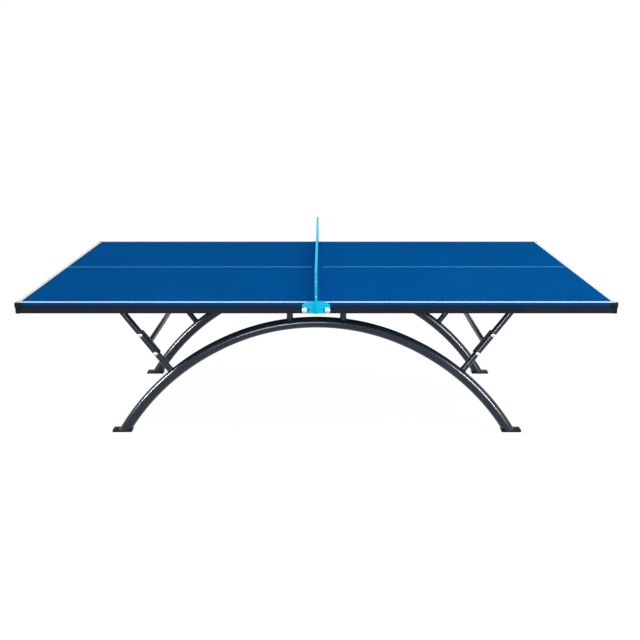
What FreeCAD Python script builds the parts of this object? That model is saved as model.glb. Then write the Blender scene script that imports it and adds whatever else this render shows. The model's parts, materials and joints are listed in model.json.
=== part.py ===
import FreeCAD, Part
import math
import os

# Outdoor table tennis table on two arched tube legs. Millimetres.
# X runs along the table's length, Y across its width, +Z up.
# The origin is on the floor under the middle of the table, where the two halves meet.
# left is -X, right is +X, front is -Y, rear is +Y.

# ---- overall sizes ----
TABLE_LENGTH = 2740.0
TABLE_WIDTH = 1525.0
TABLE_HEIGHT = 760.0

# ---- moulded top panels ----
PANEL_GAP = 1.0
PANEL_DECK = 6.0
PANEL_DEPTH = 12.0
PANEL_RIM_WIDTH = 8.0
PANEL_RIB_WIDTH = 4.0
PANEL_RIB_PITCH = 240.0
PANEL_CORNER_RADIUS = 3.0
PANEL_EDGE_RADIUS = 2.0
PANEL_BOSS_RADIUS = 7.0
PANEL_SCREW_COVER = 3.0

# ---- steel frame under the panels ----
APRON_HEIGHT = 40.0
APRON_WIDTH = 20.0
APRON_WALL = 1.5
UNDER_RAIL_WIDTH = 40.0
UNDER_RAIL_WALL = 2.0
TUBE_EDGE_RADIUS = 2.5
CROSS_RAIL_SHARE = 0.5

# ---- corner guards ----
GUARD_CLEARANCE = 0.3
GUARD_WALL = 2.5
GUARD_REACH = 13.0
GUARD_BUMPER_WALL = 5.0
GUARD_BUMPER_REACH = 24.0
GUARD_BUMPER_DEPTH = 24.0
GUARD_TOP_STEP = 0.5
GUARD_CORNER_EXTRA = 1.5
GUARD_BUMPER_ROUND = 4.0
GUARD_PLUG_DEPTH = 30.0

# ---- arched legs ----
ARCH_SETBACK = 314.0
ARCH_TUBE_OD = 55.0
ARCH_TUBE_WALL = 2.5
ARCH_CREST_DROP = 130.2
ARCH_CREST_RADIUS = 1055.0
ARCH_SIDE_RADIUS = 1244.0
ARCH_CREST_ANGLE = 23.0

# ---- foot plates ----
FOOT_THICKNESS = 8.0
FOOT_SIDE_MARGIN = 1.5
FOOT_INNER_MARGIN = 3.0
FOOT_HOLE_FROM_TUBE = 16.0
FOOT_HOLE_TO_END = 17.0
FOOT_CORNER_RADIUS = 8.0
ANCHOR_HOLE_RADIUS = 5.5

# ---- posts between the arch crest and the under-rails ----
POST_OFFSET = 132.0
POST_OD = 32.0
POST_WALL = 2.0

# ---- braces between the arch sides and the under-rails ----
BRACE_FOOT_X = 737.0
BRACE_ANGLE = 53.5
BRACE_OD = 32.0
BRACE_WALL = 2.0

# ---- plates that close the posts and braces, bolted to the under-rails ----
TOP_PLATE_THICKNESS = 5.0
TOP_PLATE_BOLT_GAP = 15.0
TOP_PLATE_BOLT_TO_END = 12.0
TOP_PLATE_CORNER_RADIUS = 5.0

# ---- cross-beams from the front braces to the rear braces ----
BEAM_FROM_ARCH = 172.0
BEAM_OD = 28.0
BEAM_WALL = 2.0
BEAM_PLATE_LENGTH = 143.0
BEAM_PLATE_WIDTH = 35.0
BEAM_PLATE_THICKNESS = 5.0
BEAM_PLATE_CORNER_RADIUS = 6.0
BEAM_BOLT_SPACING = 120.0

# ---- net and its carriers ----
NET_HEIGHT = 152.5
NET_GAP = 2.5
NET_SHEET = 2.0
NET_HEM_WIDTH = 8.6
NET_HEM_DEPTH = 8.0
NET_CHANNEL_WALL = 1.3
NET_CHANNEL_CLEARANCE = 0.2
NET_RAIL_DEPTH = 14.5
NET_POST_LAP = 12.5
NET_TONGUE_DEPTH = 6.2
NET_HOLE_SIZE = 26.0
NET_HOLE_WEB = 9.0
NET_HOLE_RADIUS = 6.0
NET_RIVET_LEVELS = (28.0, 78.0, 118.0)
NET_SCREW_LEVELS = (29.0, 99.0, 144.0)

# ---- flanges that bolt the net carriers to the apron ----
BRACKET_LENGTH = 127.0
BRACKET_THICKNESS = 3.0
BRACKET_BELOW_APRON_TOP = 36.5
BRACKET_SHOULDER = 8.5
FRONT_BRACKET_RISE = 7.0
REAR_BRACKET_RISE = 0.0
BRACKET_RISE_LENGTH = 64.0
BRACKET_SHOULDER_RUN = 21.0
BRACKET_SHOULDER_SHARE = 1 / 3
BRACKET_CORNER_RADIUS = 5.0
BRACKET_TAIL = 4.5
BRACKET_BOLT_OFFSET = 52.5
BRACKET_BOLT_DROP = 23.5
BRACKET_SLOT_LENGTH = 26.5
BRACKET_SLOT_HEIGHT = 13.0
BRACKET_SLOT_OUTER = 6.0

# ---- fasteners ----
BOLT_CLEARANCE = 0.3
M8_RADIUS = 4.0
M8_FLATS = 13.0
M8_HEAD = 5.3
M8_NUT = 6.5
M10_RADIUS = 5.0
M10_FLATS = 17.0
M10_NUT = 8.0
BOLT_TAIL = 4.0
BRACE_HEAD_RADIUS = 10.5
BRACE_HEAD_HEIGHT = 6.0
BRACE_WASHER_RADIUS = 10.0
BRACE_WASHER_THICKNESS = 2.0
SADDLE_CROWN = 1.5
SADDLE_SKIRT = 4.0
NET_WASHER_RADIUS = 12.5
NET_WASHER_THICKNESS = 2.0
NET_HEAD_RADIUS = 8.0
NET_HEAD_HEIGHT = 4.5
SOCKET_FLATS = 5.0
SOCKET_DEPTH = 2.8
HEAD_ROUND_SHARE = 0.6
JOINT_BOLT_PLACES = (0.4, 0.84)
SCREW_RADIUS = 2.5
SCREW_HEAD_RADIUS = 5.0
SCREW_HEAD_HEIGHT = 3.0
UNDER_RAIL_SCREW_PLACES = (0.19, 0.43, 0.86)
END_SCREW_PLACE = 0.2
SMALL_SCREW_RADIUS = 2.0
SMALL_HEAD_RADIUS = 4.0
SMALL_HEAD_HEIGHT = 1.8
SMALL_CLEARANCE = 0.1
RIVET_HEAD_HEIGHT = 0.9

# ---- levels and lines worked out from the sizes above ----
HALF_LENGTH = TABLE_LENGTH / 2
HALF_WIDTH = TABLE_WIDTH / 2
FRAME_TOP = TABLE_HEIGHT - PANEL_DEPTH
FRAME_BOTTOM = FRAME_TOP - APRON_HEIGHT
PLATE_BOTTOM = FRAME_BOTTOM - TOP_PLATE_THICKNESS
ARCH_Y = HALF_WIDTH - ARCH_SETBACK
ARCH_RADIUS = ARCH_TUBE_OD / 2
ARCH_CREST_Z = FRAME_BOTTOM - ARCH_CREST_DROP
NET_TOP = TABLE_HEIGHT + NET_HEIGHT
NET_CHANNEL_HALF = NET_HEM_WIDTH / 2 + NET_CHANNEL_CLEARANCE + NET_CHANNEL_WALL
TONGUE_FACE = HALF_WIDTH + NET_TONGUE_DEPTH
POST_FACE = TONGUE_FACE + NET_CHANNEL_WALL
BRACKET_FACE = HALF_WIDTH + BRACKET_THICKNESS
BRACKET_BOLT_Z = FRAME_TOP - BRACKET_BOLT_DROP

UP = FreeCAD.Vector(0, 0, 1)
SIDES = (("left", -1), ("right", 1))
ENDS = (("front", -1), ("rear", 1))


# ---------------------------------------------------------------- basic shapes

def vec(x, y, z):
    return FreeCAD.Vector(x, y, z)


def block(x0, x1, y0, y1, z0, z1):
    """A box between two corners."""
    return Part.makeBox(x1 - x0, y1 - y0, z1 - z0, vec(x0, y0, z0))


def rod(start, direction, radius, length):
    """A round bar from a point along a direction."""
    return Part.makeCylinder(radius, length, start, direction)


def placed(shape, origin, direction):
    """A copy of a shape built along +Z from the origin, moved to a point and turned."""
    copy = shape.copy()
    turn = FreeCAD.Rotation(UP, direction)
    copy.Placement = FreeCAD.Placement(origin, turn).multiply(copy.Placement)
    return copy


def mirrored(shape, x_sign, y_sign):
    """A copy of a right, rear shape in the quarter with the given signs."""
    if x_sign < 0:
        shape = shape.mirror(vec(0, 0, 0), vec(1, 0, 0))
    if y_sign < 0:
        shape = shape.mirror(vec(0, 0, 0), vec(0, 1, 0))
    return shape.copy()


def is_upright(edge):
    """True for a straight edge that runs along Z."""
    box = edge.BoundBox
    return box.XLength < 1e-6 and box.YLength < 1e-6


def round_upright_edges(shape, radius, wanted=lambda edge: True):
    """Rounds the vertical edges of a shape that pass a test."""
    edges = [edge for edge in shape.Edges if is_upright(edge) and wanted(edge)]
    return shape.makeFillet(radius, edges)


def box_tube(x0, x1, y0, y1, z0, z1, wall, along):
    """A rectangular tube with rounded long edges, open at both ends."""
    size = {"x": x1 - x0, "y": y1 - y0}[along]
    outer = block(x0, x1, y0, y1, z0, z1)
    long_edges = [edge for edge in outer.Edges
                  if abs({"x": edge.BoundBox.XLength, "y": edge.BoundBox.YLength}[along] - size) < 1e-6]
    outer = outer.makeFillet(TUBE_EDGE_RADIUS, long_edges)
    if along == "x":
        bore = block(x0 - 1, x1 + 1, y0 + wall, y1 - wall, z0 + wall, z1 - wall)
    else:
        bore = block(x0 + wall, x1 - wall, y0 - 1, y1 + 1, z0 + wall, z1 - wall)
    return outer.cut(bore)


def round_tube(start, direction, radius, wall, length):
    """A round tube from a point along a direction."""
    outer = rod(start, direction, radius, length)
    return outer.cut(rod(start, direction, radius - wall, length))


def hexagon(flats, height):
    """A hexagonal prism on the origin, along +Z."""
    corner = flats / math.sqrt(3)
    points = [vec(corner * math.cos(math.radians(60 * i)), corner * math.sin(math.radians(60 * i)), 0)
              for i in range(7)]
    return Part.Face(Part.makePolygon(points)).extrude(vec(0, 0, height))


def rounded_plate(length, width, thickness, corner):
    """A flat plate centred on the origin in X and Y, with its underside at Z = 0."""
    plate = block(-length / 2, length / 2, -width / 2, width / 2, 0, thickness)
    return round_upright_edges(plate, corner)


def save(name, solids):
    """Writes one node, from one solid or from a list of separate solids."""
    shape = Part.makeCompound(solids) if isinstance(solids, list) else solids
    shape.exportStep("parts/" + name + ".step")


# ---------------------------------------------------------------- fasteners

def hex_bolt(radius, flats, head, length):
    """A hexagon bolt: the head hangs below the origin, the shank runs along +Z."""
    shank = rod(vec(0, 0, 0), UP, radius, length)
    return hexagon(flats, head).translated(vec(0, 0, -head)).fuse(shank).removeSplitter()


def round_bolt(radius, head_radius, head, length, socket):
    """A round-headed bolt: the head hangs below the origin, the shank runs along +Z."""
    cap = rod(vec(0, 0, -head), UP, head_radius, head)
    rim = [edge for edge in cap.Edges if edge.BoundBox.ZMax < -head + 1e-6 and edge.BoundBox.XLength > 1]
    cap = cap.makeFillet(head * HEAD_ROUND_SHARE, rim)
    if socket:
        cap = cap.cut(hexagon(SOCKET_FLATS, SOCKET_DEPTH).translated(vec(0, 0, -head)))
    return cap.fuse(rod(vec(0, 0, 0), UP, radius, length)).removeSplitter()


def ring(outer_radius, inner_radius, thickness):
    """A flat washer on the origin, along +Z."""
    return rod(vec(0, 0, 0), UP, outer_radius, thickness).cut(rod(vec(0, 0, 0), UP, inner_radius, thickness))


def nut(flats, radius, height):
    """A hexagon nut on the origin, along +Z."""
    return hexagon(flats, height).cut(rod(vec(0, 0, 0), UP, radius + SMALL_CLEARANCE, height))


# ---------------------------------------------------------------- arch geometry

def crest_centre():
    """Centre of the crest arc in the X-Z plane."""
    return (0.0, ARCH_CREST_Z - ARCH_CREST_RADIUS)


def side_centre():
    """Centre of the right side arc, which is tangent to the crest arc."""
    angle = math.radians(ARCH_CREST_ANGLE)
    change = ARCH_SIDE_RADIUS - ARCH_CREST_RADIUS
    x, z = crest_centre()
    return (x - change * math.sin(angle), z - change * math.cos(angle))


def side_point(angle, offset=0.0):
    """A point of the right side arc at an angle from the vertical, moved outwards by an offset."""
    x, z = side_centre()
    radius = ARCH_SIDE_RADIUS + offset
    return (x + radius * math.sin(angle), z + radius * math.cos(angle))


def side_angle_at_height(height):
    """The side arc's angle from the vertical where its centreline is at a height."""
    return math.acos((height - side_centre()[1]) / ARCH_SIDE_RADIUS)


def crest_height(x, offset):
    """Height of the crest arc at X, moved outwards by an offset."""
    radius = ARCH_CREST_RADIUS + offset
    return crest_centre()[1] + math.sqrt(radius ** 2 - x ** 2)


FOOT_ANGLE = side_angle_at_height(FOOT_THICKNESS)
FOOT_TUBE_X = side_point(FOOT_ANGLE)[0]
FOOT_TUBE_HALF = ARCH_RADIUS / math.sin(FOOT_ANGLE)
ANCHOR_X = FOOT_TUBE_X + FOOT_TUBE_HALF + FOOT_HOLE_FROM_TUBE
BRACE_FOOT_ANGLE = math.asin((BRACE_FOOT_X - side_centre()[0]) / (ARCH_SIDE_RADIUS + ARCH_RADIUS))
BRACE_FOOT_Z = side_point(BRACE_FOOT_ANGLE, ARCH_RADIUS)[1]
BRACE_COS = math.cos(math.radians(BRACE_ANGLE))
BRACE_SIN = math.sin(math.radians(BRACE_ANGLE))
BRACE_TOP_X = BRACE_FOOT_X + (PLATE_BOTTOM - BRACE_FOOT_Z) * BRACE_COS / BRACE_SIN


def arch_solid(tube_radius):
    """The arch in the plane Y = 0, as a solid bar of a radius, cut flat on top of the foot plates."""
    crest = math.radians(ARCH_CREST_ANGLE)
    below_floor = side_angle_at_height(-2 * ARCH_TUBE_OD)
    middle = (crest + below_floor) / 2
    end, side, knee = (side_point(angle) for angle in (below_floor, middle, crest))
    points = [vec(-end[0], 0, end[1]), vec(-side[0], 0, side[1]), vec(-knee[0], 0, knee[1]),
              vec(0, 0, ARCH_CREST_Z),
              vec(knee[0], 0, knee[1]), vec(side[0], 0, side[1]), vec(end[0], 0, end[1])]
    arcs = [Part.Arc(points[i], points[i + 1], points[i + 2]).toShape() for i in (0, 2, 4)]
    tangent = vec(math.cos(below_floor), 0, math.sin(below_floor))
    section = Part.Wire(Part.makeCircle(tube_radius, points[0], tangent))
    bar = Part.Wire(arcs).makePipeShell([section], True, False)
    reach = 2 * end[0]
    return bar.cut(block(-reach, reach, -ARCH_TUBE_OD, ARCH_TUBE_OD, -reach, FOOT_THICKNESS))


def brace_point(distance):
    """A point on the right brace's axis in the plane Y = 0, counted from the arch's surface."""
    return vec(BRACE_FOOT_X + distance * BRACE_COS, 0, BRACE_FOOT_Z + distance * BRACE_SIN)


# ---------------------------------------------------------------- places that pieces share

def panel_screw_places():
    """X and Y of the screws that hold the right panel, in the rear half."""
    inside = HALF_LENGTH - APRON_WIDTH
    places = [(APRON_WIDTH + share * (inside - APRON_WIDTH), ARCH_Y) for share in UNDER_RAIL_SCREW_PLACES]
    for x in (APRON_WIDTH / 2, HALF_LENGTH - APRON_WIDTH / 2):
        places.append((x, END_SCREW_PLACE * HALF_WIDTH))
    return places


def joint_bolt_places():
    """Y of the bolts through the two joint rails, in the rear half."""
    return [share * HALF_WIDTH for share in JOINT_BOLT_PLACES]


def top_plates():
    """Centre X, half footprint along X of the tube, for each plate under the right under-rail."""
    return {"post": (POST_OFFSET, POST_OD / 2),
            "brace": (BRACE_TOP_X, BRACE_OD / 2 / BRACE_SIN)}


def top_plate_bolt_places():
    """X of the bolts through the right under-rail's lower wall."""
    places = []
    for centre, half in top_plates().values():
        for sign in (-1, 1):
            places.append(centre + sign * (half + TOP_PLATE_BOLT_GAP))
    return places


def brace_bolt_points():
    """Points on the right brace's axis, in the plane Y = 0, where the beam's bolts cross it."""
    return [brace_point(BEAM_FROM_ARCH + sign * BEAM_BOLT_SPACING / 2) for sign in (-1, 1)]


# ---------------------------------------------------------------- top panels

def rib_lines(start, end):
    """Evenly spaced places between two walls, no further apart than the rib pitch."""
    bays = math.ceil((end - start) / PANEL_RIB_PITCH)
    return [start + (end - start) * i / bays for i in range(1, bays)]


def right_panel():
    """One moulded half of the playing surface: a deck with a rim, ribs and screw bosses below."""
    near = PANEL_GAP / 2
    panel = block(near, HALF_LENGTH, -HALF_WIDTH, HALF_WIDTH, FRAME_TOP, TABLE_HEIGHT)
    panel = round_upright_edges(panel, PANEL_CORNER_RADIUS, lambda edge: edge.BoundBox.XMin > near + 1)
    top_edges = [edge for edge in panel.Edges
                 if edge.BoundBox.ZMin > TABLE_HEIGHT - 1e-6 and edge.BoundBox.XMax > near + 1]
    panel = panel.makeFillet(PANEL_EDGE_RADIUS, top_edges)
    x0 = near + PANEL_RIM_WIDTH
    x1 = HALF_LENGTH - PANEL_RIM_WIDTH
    y1 = HALF_WIDTH - PANEL_RIM_WIDTH
    under_deck = TABLE_HEIGHT - PANEL_DECK
    panel = panel.cut(block(x0, x1, -y1, y1, FRAME_TOP, under_deck))
    half_rib = PANEL_RIB_WIDTH / 2
    ribs = [block(x - half_rib, x + half_rib, -y1, y1, FRAME_TOP, under_deck) for x in rib_lines(x0, x1)]
    ribs += [block(x0, x1, y - half_rib, y + half_rib, FRAME_TOP, under_deck) for y in rib_lines(-y1, y1)]
    places = [(x, sign * y) for x, y in panel_screw_places() for sign in (-1, 1)]
    bosses = [rod(vec(x, y, FRAME_TOP), UP, PANEL_BOSS_RADIUS, under_deck - FRAME_TOP) for x, y in places]
    limits = block(near, HALF_LENGTH, -HALF_WIDTH, HALF_WIDTH, FRAME_TOP, under_deck)
    panel = panel.multiFuse(ribs + [boss.common(limits) for boss in bosses])
    pilot = TABLE_HEIGHT - PANEL_SCREW_COVER - FRAME_TOP
    for x, y in places:
        panel = panel.cut(rod(vec(x, y, FRAME_TOP), UP, SCREW_RADIUS + SMALL_CLEARANCE, pilot))
    return panel.removeSplitter()


def panel_screws():
    """Long screws from under the rails into the panels' bosses."""
    length = TABLE_HEIGHT - PANEL_SCREW_COVER - SMALL_CLEARANCE - FRAME_BOTTOM
    screw = round_bolt(SCREW_RADIUS, SCREW_HEAD_RADIUS, SCREW_HEAD_HEIGHT, length, False)
    return [placed(screw, vec(x_sign * x, y_sign * y, FRAME_BOTTOM), UP)
            for x, y in panel_screw_places() for _, x_sign in SIDES for _, y_sign in ENDS]


# ---------------------------------------------------------------- frame rails

def drill_for_screws(rail, x_low, x_high):
    """Cuts the panel screws' holes through both walls of a right-hand rail between two X values."""
    for x, y in panel_screw_places():
        for sign in (-1, 1):
            if x_low < x < x_high:
                start = vec(x, sign * y, FRAME_BOTTOM)
                rail = rail.cut(rod(start, UP, SCREW_RADIUS + BOLT_CLEARANCE, APRON_HEIGHT))
    return rail


def side_rail():
    """The right half's rear apron rail, with the net bracket's bolt hole."""
    rail = box_tube(0, HALF_LENGTH - APRON_WIDTH, HALF_WIDTH - APRON_WIDTH, HALF_WIDTH,
                    FRAME_BOTTOM, FRAME_TOP, APRON_WALL, "x")
    start = vec(BRACKET_BOLT_OFFSET, HALF_WIDTH - 2 * APRON_WIDTH, BRACKET_BOLT_Z)
    return rail.cut(rod(start, vec(0, 1, 0), M8_RADIUS + BOLT_CLEARANCE, 3 * APRON_WIDTH))


def end_rail():
    """The right end's apron rail, across the whole width."""
    inner = HALF_LENGTH - APRON_WIDTH
    rail = box_tube(inner, HALF_LENGTH, -HALF_WIDTH, HALF_WIDTH, FRAME_BOTTOM, FRAME_TOP, APRON_WALL, "y")
    return drill_for_screws(rail, inner, HALF_LENGTH)


def joint_rail():
    """The right half's rail at the middle of the table, bolted to its neighbour."""
    inner = HALF_WIDTH - APRON_WIDTH
    rail = box_tube(0, APRON_WIDTH, -inner, inner, FRAME_BOTTOM, FRAME_TOP, APRON_WALL, "y")
    level = (FRAME_BOTTOM + FRAME_TOP) / 2
    for y in joint_bolt_places():
        for sign in (-1, 1):
            start = vec(-1, sign * y, level)
            rail = rail.cut(rod(start, vec(1, 0, 0), M8_RADIUS + BOLT_CLEARANCE, APRON_WIDTH + 2))
    return drill_for_screws(rail, 0, APRON_WIDTH)


def under_rail():
    """The right, rear rail above an arch, which carries the post and the brace."""
    inner = HALF_LENGTH - APRON_WIDTH
    half = UNDER_RAIL_WIDTH / 2
    rail = box_tube(APRON_WIDTH, inner, ARCH_Y - half, ARCH_Y + half,
                    FRAME_BOTTOM, FRAME_TOP, UNDER_RAIL_WALL, "x")
    for x in top_plate_bolt_places():
        start = vec(x, ARCH_Y, FRAME_BOTTOM - 1)
        rail = rail.cut(rod(start, UP, M8_RADIUS + BOLT_CLEARANCE, UNDER_RAIL_WALL + 2))
    return drill_for_screws(rail, APRON_WIDTH, inner)


def cross_rails():
    """Three lengths of tube in line across the right half, between the long rails."""
    centre = HALF_LENGTH * CROSS_RAIL_SHARE
    x0 = centre - APRON_WIDTH / 2
    x1 = centre + APRON_WIDTH / 2
    near = ARCH_Y - UNDER_RAIL_WIDTH / 2
    far = ARCH_Y + UNDER_RAIL_WIDTH / 2
    edge = HALF_WIDTH - APRON_WIDTH
    spans = ((-edge, -far), (-near, near), (far, edge))
    return [box_tube(x0, x1, y0, y1, FRAME_BOTTOM, FRAME_TOP, APRON_WALL, "y") for y0, y1 in spans]


def joint_bolts():
    """Bolts along X through both joint rails."""
    level = (FRAME_BOTTOM + FRAME_TOP) / 2
    length = 2 * APRON_WIDTH + M8_NUT + BOLT_TAIL
    bolt = hex_bolt(M8_RADIUS, M8_FLATS, M8_HEAD, length)
    return [placed(bolt, vec(-APRON_WIDTH, sign * y, level), vec(1, 0, 0))
            for y in joint_bolt_places() for sign in (-1, 1)]


def corner_guard():
    """The right, rear corner guard: a thin wrap, a rounded bumper above it and a plug in the end rail."""
    def outermost(edge):
        return edge.BoundBox.XMin > HALF_LENGTH and edge.BoundBox.YMin > HALF_WIDTH

    def corner(reach, wall, z0, z1):
        shape = block(HALF_LENGTH - reach, HALF_LENGTH + wall, HALF_WIDTH - reach, HALF_WIDTH + wall, z0, z1)
        return round_upright_edges(shape, wall + GUARD_CORNER_EXTRA, outermost)

    top = TABLE_HEIGHT - GUARD_TOP_STEP
    wrap = corner(GUARD_REACH, GUARD_WALL, FRAME_BOTTOM, top - GUARD_BUMPER_ROUND)
    bumper = corner(GUARD_BUMPER_REACH, GUARD_BUMPER_WALL, top - GUARD_BUMPER_DEPTH, top)
    outer_faces = [edge for edge in bumper.Edges if not is_upright(edge)
                   and (edge.BoundBox.XMin > HALF_LENGTH - GUARD_BUMPER_REACH + 1e-6
                        or edge.BoundBox.YMin > HALF_WIDTH - GUARD_BUMPER_REACH + 1e-6)]
    bumper = bumper.makeFillet(GUARD_BUMPER_ROUND, outer_faces)
    far = HALF_LENGTH + GUARD_CLEARANCE
    wide = HALF_WIDTH + GUARD_CLEARANCE
    deep = 2 * GUARD_BUMPER_REACH
    table = block(far - deep, far, wide - deep, wide, FRAME_BOTTOM - 1, TABLE_HEIGHT + 1)
    gap = APRON_WALL + GUARD_CLEARANCE
    plug = block(HALF_LENGTH - APRON_WIDTH + gap, HALF_LENGTH - gap, HALF_WIDTH - GUARD_PLUG_DEPTH, wide,
                 FRAME_BOTTOM + gap, FRAME_TOP - gap)
    return wrap.fuse(bumper).cut(table).fuse(plug).removeSplitter()


# ---------------------------------------------------------------- legs

def arch():
    """The rear arch: one bent tube."""
    tube = arch_solid(ARCH_RADIUS).cut(arch_solid(ARCH_RADIUS - ARCH_TUBE_WALL))
    return tube.translated(vec(0, ARCH_Y, 0))


def foot_plate():
    """The right, rear foot plate, with its anchor hole outside the tube."""
    x0 = FOOT_TUBE_X - FOOT_TUBE_HALF - FOOT_INNER_MARGIN
    x1 = ANCHOR_X + FOOT_HOLE_TO_END
    width = ARCH_TUBE_OD + 2 * FOOT_SIDE_MARGIN
    plate = rounded_plate(x1 - x0, width, FOOT_THICKNESS, FOOT_CORNER_RADIUS)
    plate = plate.translated(vec((x0 + x1) / 2, ARCH_Y, 0))
    return plate.cut(rod(vec(ANCHOR_X, ARCH_Y, 0), UP, ANCHOR_HOLE_RADIUS, FOOT_THICKNESS))


def post(arch_bar):
    """The right, rear post, shaped at its foot to sit on the arch."""
    start = crest_height(POST_OFFSET, 0)
    tube = round_tube(vec(POST_OFFSET, 0, start), UP, POST_OD / 2, POST_WALL, PLATE_BOTTOM - start)
    return tube.cut(arch_bar).translated(vec(0, ARCH_Y, 0))


def brace(arch_bar):
    """The right, rear brace, shaped at its foot to sit on the arch and cut level at its top."""
    direction = vec(BRACE_COS, 0, BRACE_SIN)
    start = brace_point(-ARCH_RADIUS)
    length = (PLATE_BOTTOM - start.z + BRACE_OD) / BRACE_SIN
    tube = round_tube(start, direction, BRACE_OD / 2, BRACE_WALL, length).cut(arch_bar)
    above = block(start.x, start.x + 2 * length, -BRACE_OD, BRACE_OD, PLATE_BOTTOM, PLATE_BOTTOM + length)
    tube = tube.cut(above)
    for point in brace_bolt_points():
        hole = rod(point - vec(0, BRACE_OD, 0), vec(0, 1, 0), M10_RADIUS + BOLT_CLEARANCE, 2 * BRACE_OD)
        tube = tube.cut(hole)
    return tube.translated(vec(0, ARCH_Y, 0))


def top_plate(kind):
    """The right, rear plate that closes a post or a brace under the under-rail."""
    centre, half = top_plates()[kind]
    spacing = half + TOP_PLATE_BOLT_GAP
    plate = rounded_plate(2 * (spacing + TOP_PLATE_BOLT_TO_END), UNDER_RAIL_WIDTH,
                          TOP_PLATE_THICKNESS, TOP_PLATE_CORNER_RADIUS)
    for sign in (-1, 1):
        hole = rod(vec(sign * spacing, 0, 0), UP, M8_RADIUS + BOLT_CLEARANCE, TOP_PLATE_THICKNESS)
        plate = plate.cut(hole)
    return plate.translated(vec(centre, ARCH_Y, PLATE_BOTTOM))


def top_plate_bolts():
    """Bolts from below through the top plates and the under-rails' lower walls."""
    length = TOP_PLATE_THICKNESS + UNDER_RAIL_WALL + M8_NUT + BOLT_TAIL
    bolt = hex_bolt(M8_RADIUS, M8_FLATS, M8_HEAD, length)
    return [placed(bolt, vec(x_sign * x, y_sign * ARCH_Y, PLATE_BOTTOM), UP)
            for x in top_plate_bolt_places() for _, x_sign in SIDES for _, y_sign in ENDS]


def weld_nuts():
    """Nuts welded inside the under-rails over the top plates' bolt holes."""
    shape = nut(M8_FLATS, M8_RADIUS, M8_NUT)
    level = FRAME_BOTTOM + UNDER_RAIL_WALL
    return [placed(shape, vec(x_sign * x, y_sign * ARCH_Y, level), UP)
            for x in top_plate_bolt_places() for _, x_sign in SIDES for _, y_sign in ENDS]


# ---------------------------------------------------------------- cross-beams

def beam_plate_face():
    """Distance of the beam plates' outer faces from the middle of the table."""
    return ARCH_Y - BRACE_OD / 2


def cross_beam():
    """The right cross-beam, a round tube between its two end plates."""
    half = beam_plate_face() - BEAM_PLATE_THICKNESS
    start = brace_point(BEAM_FROM_ARCH) - vec(0, half, 0)
    return round_tube(start, vec(0, 1, 0), BEAM_OD / 2, BEAM_WALL, 2 * half)


def beam_end_plate():
    """The right, rear end plate of a cross-beam, lying along the brace."""
    plate = rounded_plate(BEAM_PLATE_LENGTH, BEAM_PLATE_WIDTH, BEAM_PLATE_THICKNESS, BEAM_PLATE_CORNER_RADIUS)
    for sign in (-1, 1):
        place = vec(sign * BEAM_BOLT_SPACING / 2, 0, 0)
        plate = plate.cut(rod(place, UP, M10_RADIUS + BOLT_CLEARANCE, BEAM_PLATE_THICKNESS))
    plate.rotate(vec(0, 0, 0), vec(1, 0, 0), 90)
    plate.rotate(vec(0, 0, 0), vec(0, 1, 0), -BRACE_ANGLE)
    return plate.translated(brace_point(BEAM_FROM_ARCH) + vec(0, beam_plate_face(), 0))


def brace_fasteners(brace_bar):
    """Right, rear bolts, saddle washers, flat washers and nuts where the beam meets the brace."""
    outer = ARCH_Y + BRACE_OD / 2 + SADDLE_CROWN
    inner = beam_plate_face() - BEAM_PLATE_THICKNESS
    length = outer - inner + BRACE_WASHER_THICKNESS + M10_NUT + BOLT_TAIL
    inward = vec(0, -1, 0)
    bolt = round_bolt(M10_RADIUS, BRACE_HEAD_RADIUS, BRACE_HEAD_HEIGHT, length, False)
    washer = ring(BRACE_WASHER_RADIUS, M10_RADIUS + BOLT_CLEARANCE, BRACE_WASHER_THICKNESS)
    saddle = ring(BRACE_HEAD_RADIUS, M10_RADIUS + BOLT_CLEARANCE, SADDLE_CROWN + SADDLE_SKIRT)
    hex_nut = nut(M10_FLATS, M10_RADIUS, M10_NUT)
    pieces = {"bolts": [], "saddles": [], "washers": [], "nuts": []}
    for point in brace_bolt_points():
        pieces["bolts"].append(placed(bolt, point + vec(0, outer, 0), inward))
        pieces["saddles"].append(placed(saddle, point + vec(0, outer, 0), inward).cut(brace_bar))
        pieces["washers"].append(placed(washer, point + vec(0, inner, 0), inward))
        nut_face = inner - BRACE_WASHER_THICKNESS
        pieces["nuts"].append(placed(hex_nut, point + vec(0, nut_face, 0), inward))
    return pieces


# ---------------------------------------------------------------- net

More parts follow.
